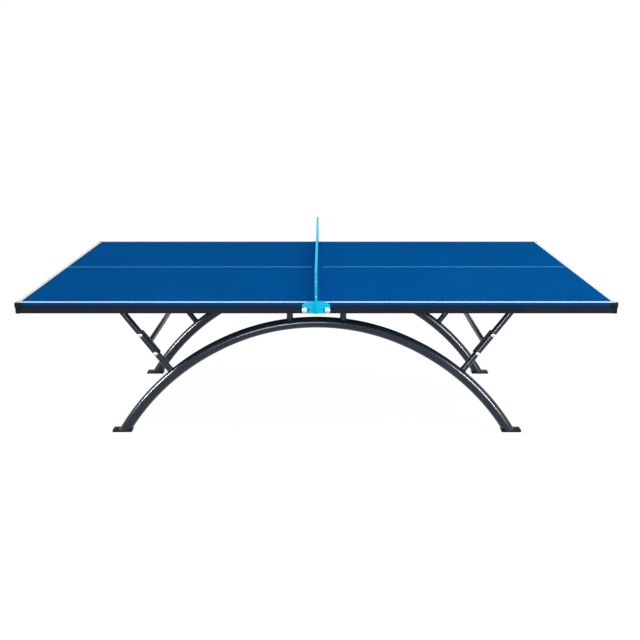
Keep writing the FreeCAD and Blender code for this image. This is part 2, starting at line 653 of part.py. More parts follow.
def net_panel():
    """The steel net: a pierced sheet with thick hems along its top and both ends."""
    bottom = TABLE_HEIGHT + NET_GAP
    top = NET_TOP - NET_CHANNEL_WALL
    outline = Part.makePolygon([vec(0, -HALF_WIDTH, bottom), vec(0, HALF_WIDTH, bottom),
                                vec(0, HALF_WIDTH, top), vec(0, -HALF_WIDTH, top),
                                vec(0, -HALF_WIDTH, bottom)])
    pitch = NET_HOLE_SIZE + NET_HOLE_WEB
    post_edge = HALF_WIDTH - NET_POST_LAP
    rail_edge = NET_TOP - NET_RAIL_DEPTH
    columns = int((2 * post_edge - NET_HOLE_WEB) // pitch)
    rows = int((rail_edge - bottom - NET_HOLE_WEB) // pitch)
    middle = (bottom + rail_edge) / 2
    hole = round_upright_edges(block(-NET_HOLE_SIZE / 2, NET_HOLE_SIZE / 2, -NET_HOLE_SIZE / 2,
                                     NET_HOLE_SIZE / 2, 0, 1), NET_HOLE_RADIUS)
    window = [face for face in hole.Faces if face.BoundBox.ZMax < 1e-6][0].OuterWire
    window.rotate(vec(0, 0, 0), vec(0, 1, 0), 90)
    along = [(i - (columns - 1) / 2) * pitch for i in range(columns)]
    levels = [middle + (j - (rows - 1) / 2) * pitch for j in range(rows)]
    windows = [window.translated(vec(0, y, z)) for y in along for z in levels]
    face = Part.Face([outline] + windows, "Part::FaceMakerBullseye")
    sheet = face.extrude(vec(NET_SHEET, 0, 0)).translated(vec(-NET_SHEET / 2, 0, 0))
    half = NET_HEM_WIDTH / 2
    hems = [block(-half, half, -HALF_WIDTH, HALF_WIDTH, top - NET_HEM_DEPTH, top)]
    for sign in (-1, 1):
        y0, y1 = sorted((sign * HALF_WIDTH, sign * (HALF_WIDTH - NET_HEM_DEPTH)))
        hems.append(block(-half, half, y0, y1, bottom, top))
    panel = sheet.multiFuse(hems)
    for level in NET_RIVET_LEVELS:
        for sign in (-1, 1):
            start = vec(-half, sign * rivet_y(), TABLE_HEIGHT + level)
            panel = panel.cut(rod(start, vec(1, 0, 0), SMALL_SCREW_RADIUS + SMALL_CLEARANCE, NET_HEM_WIDTH))
    return panel.removeSplitter()


def rivet_y():
    """Distance of the rivets from the middle of the table, in the middle of the end hems."""
    return HALF_WIDTH - NET_HEM_DEPTH / 2


def net_top_rail():
    """A folded channel over the net's top hem, closed at both ends."""
    half = NET_CHANNEL_HALF
    inner = half - NET_CHANNEL_WALL
    low = NET_TOP - NET_RAIL_DEPTH
    rail = block(-half, half, -POST_FACE, POST_FACE, low, NET_TOP)
    rail = rail.cut(block(-inner, inner, -TONGUE_FACE, TONGUE_FACE, low, NET_TOP - NET_CHANNEL_WALL))
    return cut_small_screws(rail)


def net_post():
    """The rear end channel of the net: its legs clasp the net above the table and the tongue below."""
    half = NET_CHANNEL_HALF
    inner = half - NET_CHANNEL_WALL
    low = FRAME_TOP - BRACKET_BELOW_APRON_TOP - BRACKET_TAIL
    high = NET_TOP - NET_RAIL_DEPTH
    legs_bottom = TABLE_HEIGHT + max(FRONT_BRACKET_RISE, REAR_BRACKET_RISE) + NET_GAP
    lap = HALF_WIDTH - NET_POST_LAP
    channel = block(-half, half, BRACKET_FACE, POST_FACE, low, high)
    channel = channel.fuse(block(-half, half, lap, POST_FACE, legs_bottom, high))
    channel = channel.cut(block(-inner, inner, lap - 1, TONGUE_FACE, low, high))
    for level in NET_RIVET_LEVELS:
        start = vec(-half, rivet_y(), TABLE_HEIGHT + level)
        channel = channel.cut(rod(start, vec(1, 0, 0), SMALL_SCREW_RADIUS + SMALL_CLEARANCE, 2 * half))
    return cut_small_screws(channel).removeSplitter()


def cut_small_screws(shape):
    """Cuts the holes of the small screws in both ends of the net."""
    for level in NET_SCREW_LEVELS:
        for sign in (-1, 1):
            start = vec(0, sign * HALF_WIDTH, TABLE_HEIGHT + level)
            shape = shape.cut(rod(start, vec(0, sign, 0), SMALL_SCREW_RADIUS + SMALL_CLEARANCE, POST_FACE))
    return shape


def net_bracket(rise):
    """A flange on the rear apron, with a crown at a rise above the top and the net end channel's tongue."""
    low = FRAME_TOP - BRACKET_BELOW_APRON_TOP
    shoulder = TABLE_HEIGHT - BRACKET_SHOULDER
    crown = TABLE_HEIGHT + rise
    half = BRACKET_LENGTH / 2
    flat = BRACKET_RISE_LENGTH / 2
    run = flat + BRACKET_SHOULDER_RUN
    step = shoulder + (crown - shoulder) * BRACKET_SHOULDER_SHARE
    points = [vec(-half, HALF_WIDTH, low), vec(half, HALF_WIDTH, low), vec(half, HALF_WIDTH, shoulder),
              vec(run, HALF_WIDTH, step), vec(flat, HALF_WIDTH, crown),
              vec(-flat, HALF_WIDTH, crown), vec(-run, HALF_WIDTH, step),
              vec(-half, HALF_WIDTH, shoulder), vec(-half, HALF_WIDTH, low)]
    plate = Part.Face(Part.makePolygon(points)).extrude(vec(0, BRACKET_THICKNESS, 0))
    through = [edge for edge in plate.Edges if edge.BoundBox.YLength > BRACKET_THICKNESS / 2]
    plate = plate.makeFillet(BRACKET_CORNER_RADIUS, through)
    for sign in (-1, 1):
        plate = plate.cut(bracket_slot(sign))
    half_tongue = NET_HEM_WIDTH / 2
    tongue = block(-half_tongue, half_tongue, HALF_WIDTH, TONGUE_FACE, low - BRACKET_TAIL,
                   NET_TOP - NET_CHANNEL_WALL)
    tongue = tongue.cut(block(-half_tongue, half_tongue, HALF_WIDTH, BRACKET_FACE, low - BRACKET_TAIL, low))
    return cut_small_screws(plate.fuse(tongue)).removeSplitter()


def bracket_slot(sign):
    """A level slot through the flange, longer towards the middle of the table."""
    radius = BRACKET_SLOT_HEIGHT / 2
    outer = BRACKET_BOLT_OFFSET + BRACKET_SLOT_OUTER - radius
    inner = outer - (BRACKET_SLOT_LENGTH - BRACKET_SLOT_HEIGHT)
    along = vec(0, 1, 0)
    start = HALF_WIDTH - 1
    ends = [rod(vec(sign * x, start, BRACKET_BOLT_Z), along, radius, BRACKET_THICKNESS + 2)
            for x in (inner, outer)]
    x0, x1 = sorted((sign * inner, sign * outer))
    middle = block(x0, x1, start, BRACKET_FACE + 1, BRACKET_BOLT_Z - radius, BRACKET_BOLT_Z + radius)
    return middle.multiFuse(ends)


def bracket_fasteners():
    """Rear bolts, washers and nuts that hold the flange on the apron rails."""
    inward = vec(0, -1, 0)
    outer = BRACKET_FACE + NET_WASHER_THICKNESS
    inner = HALF_WIDTH - APRON_WIDTH
    length = outer - inner + M8_NUT + BOLT_TAIL
    bolt = round_bolt(M8_RADIUS, NET_HEAD_RADIUS, NET_HEAD_HEIGHT, length, True)
    washer = ring(NET_WASHER_RADIUS, M8_RADIUS + BOLT_CLEARANCE, NET_WASHER_THICKNESS)
    hex_nut = nut(M8_FLATS, M8_RADIUS, M8_NUT)
    pieces = {"bolts": [], "washers": [], "nuts": []}
    for sign in (-1, 1):
        x = sign * BRACKET_BOLT_OFFSET
        pieces["bolts"].append(placed(bolt, vec(x, outer, BRACKET_BOLT_Z), inward))
        pieces["washers"].append(placed(washer, vec(x, outer, BRACKET_BOLT_Z), inward))
        pieces["nuts"].append(placed(hex_nut, vec(x, inner, BRACKET_BOLT_Z), inward))
    return pieces


def net_rivets():
    """Rivets along X through the end channels' legs and the net's end hems."""
    half = NET_CHANNEL_HALF
    rivet = round_bolt(SMALL_SCREW_RADIUS, SMALL_HEAD_RADIUS, RIVET_HEAD_HEIGHT, 2 * half, False)
    tail = round_bolt(SMALL_SCREW_RADIUS, SMALL_HEAD_RADIUS, RIVET_HEAD_HEIGHT, half, False)
    rivets = []
    for level in NET_RIVET_LEVELS:
        for sign in (-1, 1):
            place = vec(0, sign * rivet_y(), TABLE_HEIGHT + level)
            near = placed(rivet, place - vec(half, 0, 0), vec(1, 0, 0))
            far = placed(tail, place + vec(half, 0, 0), vec(-1, 0, 0))
            rivets.append(near.fuse(far).removeSplitter())
    return rivets


def net_screws():
    """Small screws from outside through the end channels into the tongues."""
    screw = round_bolt(SMALL_SCREW_RADIUS, SMALL_HEAD_RADIUS, SMALL_HEAD_HEIGHT,
                       POST_FACE - HALF_WIDTH, False)
    return [placed(screw, vec(0, sign * POST_FACE, TABLE_HEIGHT + level), vec(0, -sign, 0))
            for level in NET_SCREW_LEVELS for sign in (-1, 1)]


# ---------------------------------------------------------------- the whole table

def save_per_side(name, shape):
    """Writes a right-hand shape and its mirror image as left and right nodes."""
    for side, x_sign in SIDES:
        if isinstance(shape, list):
            save(side + "_" + name, [mirrored(solid, x_sign, 1) for solid in shape])
        else:
            save(side + "_" + name, mirrored(shape, x_sign, 1))


def save_per_end(name, shape):
    """Writes a rear shape and its mirror image as front and rear nodes."""
    for end, y_sign in ENDS:
        save(end + "_" + name, mirrored(shape, 1, y_sign))


def save_per_corner(name, shape):
    """Writes a right, rear shape and its three mirror images as four nodes."""
    for end, y_sign in ENDS:
        for side, x_sign in SIDES:
            save(end + "_" + side + "_" + name, mirrored(shape, x_sign, y_sign))


def in_all_corners(solids):
    """Right, rear solids and their mirror images in the other three quarters."""
    return [mirrored(solid, x_sign, y_sign) for solid in solids for _, x_sign in SIDES for _, y_sign in ENDS]


def at_both_ends(solids):
    """Rear solids and their mirror images at the front."""
    return [mirrored(solid, 1, y_sign) for solid in solids for _, y_sign in ENDS]


os.makedirs("parts", exist_ok=True)
arch_bar = arch_solid(ARCH_RADIUS)
brace_bar = rod(brace_point(0) + vec(0, ARCH_Y, 0), vec(BRACE_COS, 0, BRACE_SIN), BRACE_OD / 2,
                2 * BEAM_FROM_ARCH)

save_per_side("top_panel", right_panel())
save_per_corner("apron_rail", side_rail())
save_per_side("end_rail", end_rail())
save_per_side("joint_rail", joint_rail())
save_per_corner("under_rail", under_rail())
save_per_side("cross_rails", cross_rails())
save_per_corner("corner_guard", corner_guard())
save_per_end("arch_leg", arch())
save_per_corner("foot_plate", foot_plate())
save_per_corner("post", post(arch_bar))
save_per_corner("brace", brace(arch_bar))
save("post_top_plates", in_all_corners([top_plate("post")]))
save("brace_top_plates", in_all_corners([top_plate("brace")]))
save_per_side("cross_beam", cross_beam())
save_per_side("beam_end_plates", [beam_end_plate(), mirrored(beam_end_plate(), 1, -1)])
save("net_panel", net_panel())
save("net_top_rail", net_top_rail())
save_per_end("net_post", net_post())
save("front_net_bracket", mirrored(net_bracket(FRONT_BRACKET_RISE), 1, -1))
save("rear_net_bracket", net_bracket(REAR_BRACKET_RISE))

beam_hardware = brace_fasteners(brace_bar)
net_hardware = bracket_fasteners()
joint_nut = nut(M8_FLATS, M8_RADIUS, M8_NUT)
joint_nuts = [placed(joint_nut, vec(APRON_WIDTH, sign * y, (FRAME_BOTTOM + FRAME_TOP) / 2), vec(1, 0, 0))
              for y in joint_bolt_places() for sign in (-1, 1)]
save("brace_bolts", in_all_corners(beam_hardware["bolts"]))
save("brace_saddle_washers", in_all_corners(beam_hardware["saddles"]))
save("brace_flat_washers", in_all_corners(beam_hardware["washers"]))
save("brace_nuts", in_all_corners(beam_hardware["nuts"]))
save("net_bracket_bolts", at_both_ends(net_hardware["bolts"]))
save("net_bracket_washers", at_both_ends(net_hardware["washers"]))
save("rail_nuts", at_both_ends(net_hardware["nuts"]) + joint_nuts)
save("net_rivets", net_rivets())
save("net_screws", net_screws())
save("top_plate_bolts", top_plate_bolts())
save("weld_nuts", weld_nuts())
save("joint_bolts", joint_bolts())
save("panel_screws", panel_screws())
print("anchor holes", round(2 * ANCHOR_X, 2), "by", round(2 * ARCH_Y, 2))
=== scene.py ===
import json
import math

import bmesh
import bpy
from mathutils import Matrix, Vector

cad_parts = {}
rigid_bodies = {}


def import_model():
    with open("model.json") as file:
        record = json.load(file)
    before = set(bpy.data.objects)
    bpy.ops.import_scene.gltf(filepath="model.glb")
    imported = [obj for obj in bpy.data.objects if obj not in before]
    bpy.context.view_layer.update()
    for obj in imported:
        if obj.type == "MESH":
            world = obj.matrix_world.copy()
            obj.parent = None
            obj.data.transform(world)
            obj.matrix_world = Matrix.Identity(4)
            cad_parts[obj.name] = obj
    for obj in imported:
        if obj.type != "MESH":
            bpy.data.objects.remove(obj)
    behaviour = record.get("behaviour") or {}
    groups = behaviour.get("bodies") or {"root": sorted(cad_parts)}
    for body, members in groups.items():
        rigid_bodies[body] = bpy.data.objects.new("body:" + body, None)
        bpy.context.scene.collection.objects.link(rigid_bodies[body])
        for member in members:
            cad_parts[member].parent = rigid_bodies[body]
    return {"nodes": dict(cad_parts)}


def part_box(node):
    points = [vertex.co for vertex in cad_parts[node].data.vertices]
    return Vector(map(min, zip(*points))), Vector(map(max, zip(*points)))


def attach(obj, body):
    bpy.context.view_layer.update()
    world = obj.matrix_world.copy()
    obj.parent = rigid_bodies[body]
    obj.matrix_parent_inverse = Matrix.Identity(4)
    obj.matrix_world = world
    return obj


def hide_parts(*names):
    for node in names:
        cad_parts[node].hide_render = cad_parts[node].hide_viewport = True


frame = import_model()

bl_info = {
    "name": "Outdoor Table Tennis Table",
    "version": (1, 0, 0),
    "blender": (4, 5, 0),
    "location": "3D View > Sidebar > Table",
    "description": "Finishes the pieces of a fixed outdoor table tennis table",
    "category": "Add Mesh",
}

# ---------------------------------------------------------------- corners, and sizes from the frame

ENDS = (("front", -1), ("rear", 1))
SIDES = (("left", -1), ("right", 1))
CORNERS = [(end, side, x_sign, y_sign) for end, y_sign in ENDS for side, x_sign in SIDES]

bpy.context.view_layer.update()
PANEL_LOW, PANEL_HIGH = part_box("right_top_panel")
PLATE_LOW, PLATE_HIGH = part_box("rear_right_foot_plate")
ARCH_LOW, ARCH_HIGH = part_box("rear_arch_leg")
POST_LOW, POST_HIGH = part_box("rear_right_post")
BEAM_LOW, BEAM_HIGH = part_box("right_cross_beam")

ARCH_Y = (ARCH_LOW.y + ARCH_HIGH.y) / 2
TUBE_RADIUS = (ARCH_HIGH.y - ARCH_LOW.y) / 2
CREST_Z = ARCH_HIGH.z - TUBE_RADIUS
FOOT_TOP = PLATE_HIGH.z
POST_RADIUS = (POST_HIGH.y - POST_LOW.y) / 2
POST_X = (POST_LOW.x + POST_HIGH.x) / 2
TOP_PLATE_LOW = POST_HIGH.z
BEAM_RADIUS = (BEAM_HIGH.x - BEAM_LOW.x) / 2
BEAM_X = (BEAM_LOW.x + BEAM_HIGH.x) / 2
BEAM_Z = (BEAM_LOW.z + BEAM_HIGH.z) / 2

# ---------------------------------------------------------------- fineness of the meshes

# Points closer than this become one, in metres.
MERGE_DISTANCE = 1e-6
ARCH_MERGE_DISTANCE = 1e-5

# Sides of round pieces, and steps along the arch's bends.
ARCH_SIDES = 64
ARCH_SIDE_STEPS = 48
ARCH_CREST_STEPS = 64
THIN_TUBE_SIDES = 48
HOLE_SIDES = 40
HEAD_SIDES = 40
NUT_SIDES = 50
BORE_SIDES = 32
SCREW_SIDES = 24

# How nearly an edge runs along an axis, a face turns to a side, and a face lies level.
ALONG_AXIS = 0.999
FACING = 0.9
LEVEL = 0.9999

# Turns between faces: shaded as smooth, taken as flat, rounded, and laid with a weld bead.
SMOOTH_DEGREES = 35.0
FLAT_ANGLE = math.radians(0.5)
SHARP_ANGLE = math.radians(40.0)
WELD_ANGLE = math.radians(30.0)


# ---------------------------------------------------------------- settings

def length(name, description, default):
    """A size in metres that the user may change."""
    return bpy.props.FloatProperty(name=name, description=description, default=default, min=0.0,
                                   precision=4, unit="LENGTH", subtype="DISTANCE")


def colour(name, description, default):
    """A colour that the user may change."""
    return bpy.props.FloatVectorProperty(name=name, description=description, default=default,
                                         min=0.0, max=1.0, size=3, subtype="COLOR")


class TableSizes(bpy.types.PropertyGroup):
    """Sizes of the legs, the lines and the rounded edges"""
    crest_radius: length("Crest radius", "Bend of the middle of the arch's centreline", 1.055)
    side_radius: length("Side radius", "Bend of the two sides of the arch's centreline", 1.244)
    crest_angle: bpy.props.FloatProperty(
        name="Crest angle", description="Half the turn of the arch's middle bend",
        default=math.radians(23.0), unit="ROTATION", subtype="ANGLE")
    brace_radius: length("Brace radius", "Outer radius of the brace tubes", 0.016)
    brace_foot: length("Brace foot", "Distance of the braces' feet from the middle", 0.737)
    brace_angle: bpy.props.FloatProperty(
        name="Brace angle", description="Slope of the braces",
        default=math.radians(53.5), unit="ROTATION", subtype="ANGLE")
    line_width: length("Line width", "Width of the side and end lines", 0.020)
    centre_line_width: length("Centre line width", "Width of the line along the middle", 0.007)
    centre_line_gap: length("Centre line gap", "Bare length beside the net", 0.028)
    paint: length("Paint", "Thickness of the painted lines", 0.00015)
    panel_corner: length("Panel corner", "Radius of the panels' corners in plan", 0.003)
    panel_round: length("Panel round", "Radius of the panels' upper edge", 0.002)
    bead: length("Weld bead", "Radius of the weld beads", 0.0022)
    ripple: length("Ripple", "Distance between the ripples of a weld bead", 0.0032)
    edge: length("Edge", "Rounding of sheet and plate edges", 0.0004)
    plate_corner: length("Plate corner", "Radius of the foot plates' corners", 0.008)
    anchor_to_end: length("Anchor to end", "Anchor hole's distance from its plate's end", 0.017)
    anchor_radius: length("Anchor radius", "Radius of the anchor holes", 0.0055)


class FastenerSizes(bpy.types.PropertyGroup):
    """Sizes of the bolts, nuts and screws"""
    m8: length("M8", "Radius of the M8 shanks", 0.004)
    m10: length("M10", "Radius of the M10 shanks", 0.005)
    pitch: length("Thread pitch", "Pitch of the threads", 0.0013)
    tail: length("Tail", "Length of the shanks beyond the nuts", 0.004)
    brace_head: length("Brace head", "Radius of the brace bolts' heads", 0.0105)
    brace_head_height: length("Brace head height", "Height of the brace bolts' heads", 0.006)
    brace_nut: length("Brace nut", "Width across flats of the brace bolts' nuts", 0.017)
    brace_nut_height: length("Brace nut height", "Height of the brace bolts' nuts", 0.008)
    net_head: length("Net bolt head", "Radius of the net bolts' heads", 0.008)
    net_head_height: length("Net bolt head height", "Height of the net bolts' heads", 0.0045)
    net_nut_height: length("Net nut height", "Height of the net bolts' nuts", 0.0065)
    nut_play: length("Nut play", "Gap between a shank and its nut's bore", 0.0001)
    screw_head_height: length("Screw head height", "Height of the net screws' heads", 0.0018)
    middle_screw: length("Middle screw", "Height of the middle net screw above the top", 0.099)
    socket: length("Socket", "Width across flats of the net bolts' sockets", 0.005)
    socket_depth: length("Socket depth", "Depth of the net bolts' sockets", 0.0028)
    bolt_spacing: length("Bolt spacing", "Distance between a brace's two bolts", 0.120)
    net_bolt_offset: length("Net bolt offset", "Distance of the net bolts from the middle", 0.0525)


class TableColours(bpy.types.PropertyGroup):
    """Colours of the finishes"""
    top: colour("Top", "Blue of the playing surface", (0.0015, 0.085, 0.305))
    # The sides' darker blue is painted shade, standing in for the lesser light that falls on them.
    shaded_side: colour("Top edge", "Blue of the panels' sides", (0.001, 0.068, 0.30))
    line: colour("Lines", "White of the side and end lines", (0.82, 0.95, 1.0))
    middle: colour("Centre line", "Pale blue of the line along the middle", (0.10, 0.50, 0.92))
    apron: colour("Apron", "Black of the frame", (0.010, 0.013, 0.024))
    tube: colour("Tubes", "Black of the legs", (0.022, 0.033, 0.055))
    guard: colour("Guards", "Black of the corner guards", (0.008, 0.009, 0.013))
    net: colour("Net", "Light blue of the net", (0.001, 0.62, 1.0))
    # The screws wear the net's paint, made paler: the paler part is a painted highlight on their
    # small heads.
    screw: colour("Screws", "Pale blue of the net's screws", (0.18, 0.80, 0.98))
    zinc: colour("Zinc", "Metal of the washers and nuts", (0.50, 0.51, 0.53))
    steel: colour("Steel", "Metal of the socket bolts", (0.40, 0.41, 0.42))


# ---------------------------------------------------------------- mesh tools

def rest():
    """Object mode, with nothing selected."""
    if bpy.context.object and bpy.context.object.mode != "OBJECT":
        bpy.ops.object.mode_set(mode="OBJECT")
    bpy.ops.object.select_all(action="DESELECT")


def select_only(piece):
    """Makes one piece the selected and active one."""
    rest()
    piece.select_set(True)
    bpy.context.view_layer.objects.active = piece


def start_edit(piece, kind="FACE"):
    """Edit mode on one piece, with nothing selected."""
    select_only(piece)
    bpy.ops.object.mode_set(mode="EDIT")
    bpy.ops.mesh.select_mode(type=kind)
    bpy.ops.mesh.select_all(action="DESELECT")


def select_everything():
    """In edit mode, selects the whole mesh."""
    bpy.ops.mesh.select_all(action="SELECT")


def pick(piece, kind, wanted):
    """In edit mode, selects the faces or edges that pass a test."""
    bpy.ops.mesh.select_mode(type=kind)
    bpy.ops.mesh.select_all(action="DESELECT")
    mesh = bmesh.from_edit_mesh(piece.data)
    for element in (mesh.faces if kind == "FACE" else mesh.edges):
        element.select_set(bool(wanted(element)))
    mesh.select_flush_mode()
    bmesh.update_edit_mesh(piece.data)


def edge_middle(edge):
    """The point halfway along an edge."""
    return (edge.verts[0].co + edge.verts[1].co) / 2


def runs_along(edge, axis):
    """True for an edge along one of the axes 0, 1 or 2."""
    line = edge.verts[1].co - edge.verts[0].co
    return abs(line[axis]) > ALONG_AXIS * line.length


def discard(piece):
    """Removes a piece that was only a tool or a pattern."""
    bpy.data.objects.remove(piece, do_unlink=True)


def rename(piece, name):
    """Names a piece and its mesh."""
    piece.name = name
    piece.data.name = name


def settle(piece, name):
    """Names a new primitive and puts its place into its mesh."""
    rename(piece, name)
    select_only(piece)
    bpy.ops.object.transform_apply(location=True, rotation=True, scale=True)
    return piece


def block(name, low, high):
    """A box between two corners."""
    rest()
    low, high = Vector(low), Vector(high)
    bpy.ops.mesh.primitive_cube_add(size=1, location=(low + high) / 2)
    bpy.context.object.scale = high - low
    return settle(bpy.context.object, name)


def rod(name, start, end, radius, sides=ARCH_SIDES):
    """A round bar between two points."""
    rest()
    start, end = Vector(start), Vector(end)
    line = end - start
    turn = line.to_track_quat("Z", "Y").to_euler()
    bpy.ops.mesh.primitive_cylinder_add(vertices=sides, radius=radius, depth=line.length,
                                        location=(start + end) / 2, rotation=turn)
    return settle(bpy.context.object, name)


def use_modifier(piece, kind, **settings):
    """Adds a modifier and applies it."""
    select_only(piece)
    modifier = piece.modifiers.new(kind.lower(), kind)
    for key, value in settings.items():
        setattr(modifier, key, value)
    bpy.ops.object.modifier_apply(modifier=modifier.name)


def cut(piece, cutter, keep_cutter=False):
    """Takes one piece's volume out of another."""
    use_modifier(piece, "BOOLEAN", operation="DIFFERENCE", solver="EXACT", object=cutter)
    if not keep_cutter:
        discard(cutter)


def bevel_where(piece, wanted, width, segments):
    """Rounds the edges that pass a test."""
    start_edit(piece, "EDGE")
    pick(piece, "EDGE", wanted)
    bpy.ops.mesh.bevel(offset=width, offset_type="OFFSET", segments=segments, affect="EDGES")
    rest()


def joined(pieces, name):
    """Several pieces as one."""
    rest()
    for piece in pieces:
        piece.select_set(True)
    bpy.context.view_layer.objects.active = pieces[0]
    bpy.ops.object.join()
    rename(pieces[0], name)
    return pieces[0]


def mirrored(piece, name, x_sign, y_sign):
    """A copy of a right, rear piece for the quarter with the given signs."""
    select_only(piece)
    bpy.ops.object.duplicate()
    twin = bpy.context.object
    rename(twin, name)
    start_edit(twin)
    select_everything()
    bpy.ops.transform.resize(value=(x_sign, y_sign, 1), center_override=(0, 0, 0))
    if x_sign * y_sign < 0:
        bpy.ops.mesh.flip_normals()
    rest()
    return twin


def finish_piece(piece, material, nodes=(), degrees=SMOOTH_DEGREES):
    """Smooths a piece, gives it its finish and ties it to the frame."""
    select_only(piece)
    bpy.ops.object.shade_smooth_by_angle(angle=math.radians(degrees))
    piece.data.materials.clear()
    piece.data.materials.append(material)
    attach(piece, "root")
    if nodes:
        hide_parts(*nodes)
    return piece


def coat(material, *nodes):
    """Gives CAD nodes a material."""
    for node in nodes:
        for slot in frame["nodes"][node].material_slots:
            slot.material = material


def per_corner(piece, label, node, material):
    """Mirrors a right, rear piece into all four corners, where it stands for the CAD's node."""
    for end, side, x_sign, y_sign in CORNERS:
        twin = mirrored(piece, f"{end}_{side}_{label}", x_sign, y_sign)
        finish_piece(twin, material, [f"{end}_{side}_{node}"])
    discard(piece)


def soften(node, width, material):
    """A copy of a CAD node with its sharp edges rounded, which stands for the node."""
    mesh = frame["nodes"][node].data.copy()
    piece = bpy.data.objects.new(f"{node}_rounded", mesh)
    bpy.context.scene.collection.objects.link(piece)
    select_only(piece)
    bpy.ops.mesh.customdata_custom_splitnormals_clear()
    start_edit(piece)
    select_everything()
    bpy.ops.mesh.remove_doubles(threshold=MERGE_DISTANCE)
    select_everything()
    bpy.ops.mesh.dissolve_limited(angle_limit=FLAT_ANGLE)
    rest()
    use_modifier(piece, "BEVEL", width=width, segments=2, limit_method="ANGLE",
                 angle_limit=SHARP_ANGLE, use_clamp_overlap=True)
    return finish_piece(piece, material, [node])


def turned(name, profile, sides):
    """A closed round piece along +Z: a disc drawn through pairs of radius and level."""
    radius, level = profile[0]
    rest()
    bpy.ops.mesh.primitive_circle_add(vertices=sides, radius=radius, fill_type="NGON",
                                      location=(0, 0, level))
    piece = settle(bpy.context.object, name)
    start_edit(piece)
    select_everything()
    for next_radius, next_level in profile[1:]:
        rise = (0, 0, next_level - level)
        bpy.ops.mesh.extrude_region_move(TRANSFORM_OT_translate={"value": rise})
        scale = next_radius / radius
        bpy.ops.transform.resize(value=(scale, scale, 1), center_override=(0, 0, next_level))
        radius, level = next_radius, next_level
    select_everything()
    bpy.ops.mesh.remove_doubles(threshold=MERGE_DISTANCE)
    select_everything()
    bpy.ops.mesh.normals_make_consistent(inside=False)
    rest()
    return piece


def prism(name, flats, bottom, top):
    """A hexagonal prism along +Z."""
    rest()
    bpy.ops.mesh.primitive_cylinder_add(vertices=6, radius=flats / math.sqrt(3), depth=top - bottom,
                                        location=(0, 0, (bottom + top) / 2))
    return settle(bpy.context.object, name)


def at_places(piece, name, places):
    """Copies of a piece from the origin, joined: one at each point, with +Z along its direction."""
    twins = []
    for point, direction in places:
        select_only(piece)
        bpy.ops.object.duplicate()
        twin = bpy.context.object
        twin.location = point
        twin.rotation_euler = Vector(direction).to_track_quat("Z", "Y").to_euler()
        twins.append(settle(twin, name))
    discard(piece)
    return joined(twins, name)


# ---------------------------------------------------------------- material tools

def make_material(name, base, roughness, **sockets):
    """A new Principled material with its plain values on the shader's own sockets."""
    material = bpy.data.materials.new(name)
    material.use_nodes = True
    shader = material.node_tree.nodes["Principled BSDF"]
    shader.inputs["Base Color"].default_value = (*base, 1)
    shader.inputs["Roughness"].default_value = roughness
    for socket, value in sockets.items():
        shader.inputs[socket.replace("_", " ")].default_value = value
    return material, material.node_tree, shader


def noise(tree, scale, detail=2.0):
    """Noise on Object coordinates, in cycles per metre."""
    place = tree.nodes.new("ShaderNodeTexCoord")
    texture = tree.nodes.new("ShaderNodeTexNoise")
    texture.inputs["Scale"].default_value = scale
    texture.inputs["Detail"].default_value = detail
    tree.links.new(place.outputs["Object"], texture.inputs["Vector"])
    return texture.outputs["Fac"]


def spread(tree, value, low=0.0, high=1.0, start=0.3, end=0.7):
    """Maps the part of a value from start to end onto a range; the defaults suit noise."""
    node = tree.nodes.new("ShaderNodeMapRange")
    node.inputs["From Min"].default_value = start
    node.inputs["From Max"].default_value = end
    node.inputs["To Min"].default_value = low
    node.inputs["To Max"].default_value = high
    tree.links.new(value, node.inputs["Value"])
    return node.outputs["Result"]


def blend_colours(tree, factor, first, second):
    """A colour between two, each a plain colour or another node's output."""
    node = tree.nodes.new("ShaderNodeMix")
    node.data_type = "RGBA"
    tree.links.new(factor, node.inputs["Factor"])
    for socket, value in ((node.inputs[6], first), (node.inputs[7], second)):
        if isinstance(value, bpy.types.NodeSocket):
            tree.links.new(value, socket)
        else:
            socket.default_value = (*value, 1)
    return node.outputs[2]


def shade(base, factor):
    """A colour made lighter or darker."""
    return tuple(min(1.0, channel * factor) for channel in base)


def add_bump(tree, shader, height, distance, strength):
    """Bumps the surface by a height value."""
    node = tree.nodes.new("ShaderNodeBump")
    node.inputs["Distance"].default_value = distance
    node.inputs["Strength"].default_value = strength
    tree.links.new(height, node.inputs["Height"])
    tree.links.new(node.outputs["Normal"], shader.inputs["Normal"])


# ---------------------------------------------------------------- materials

# Depths under the playing surface between which the top's blue blends into the sides' painted
# shade.
TOP_COLOUR_ABOVE = 0.0012
SIDE_SHADE_BELOW = 0.0028

# The slight blue cast of bare metal.
METAL_CAST = (0.93, 0.97, 1.02)


def moulded_top(colours):
    """Blue moulded sheet compound: faint mottling, fine texture, and sides darkened with painted
    shade.
    """
    material, tree, shader = make_material("moulded_top", colours.top, 0.5, Specular_IOR_Level=0.0)
    cloudy = noise(tree, scale=2.5, detail=3.0)
    speckle = noise(tree, scale=900.0)
    darker, lighter, speck = (shade(colours.top, factor) for factor in (0.94, 1.06, 1.25))
    broad = blend_colours(tree, spread(tree, cloudy), darker, lighter)
    fine = blend_colours(tree, spread(tree, speckle, high=0.25), broad, speck)
    place = tree.nodes.new("ShaderNodeTexCoord")
    split = tree.nodes.new("ShaderNodeSeparateXYZ")
    tree.links.new(place.outputs["Object"], split.inputs["Vector"])
    # Painted shade: below the playing surface the sides turn to the darker blue.
    upper = spread(tree, split.outputs["Z"], start=PANEL_HIGH.z - SIDE_SHADE_BELOW,
                   end=PANEL_HIGH.z - TOP_COLOUR_ABOVE)
    whole = blend_colours(tree, upper, tuple(colours.shaded_side), fine)
    tree.links.new(whole, shader.inputs["Base Color"])
    tree.links.new(spread(tree, cloudy, low=0.45, high=0.55), shader.inputs["Roughness"])
    add_bump(tree, shader, speckle, distance=0.0002, strength=0.25)
    return material


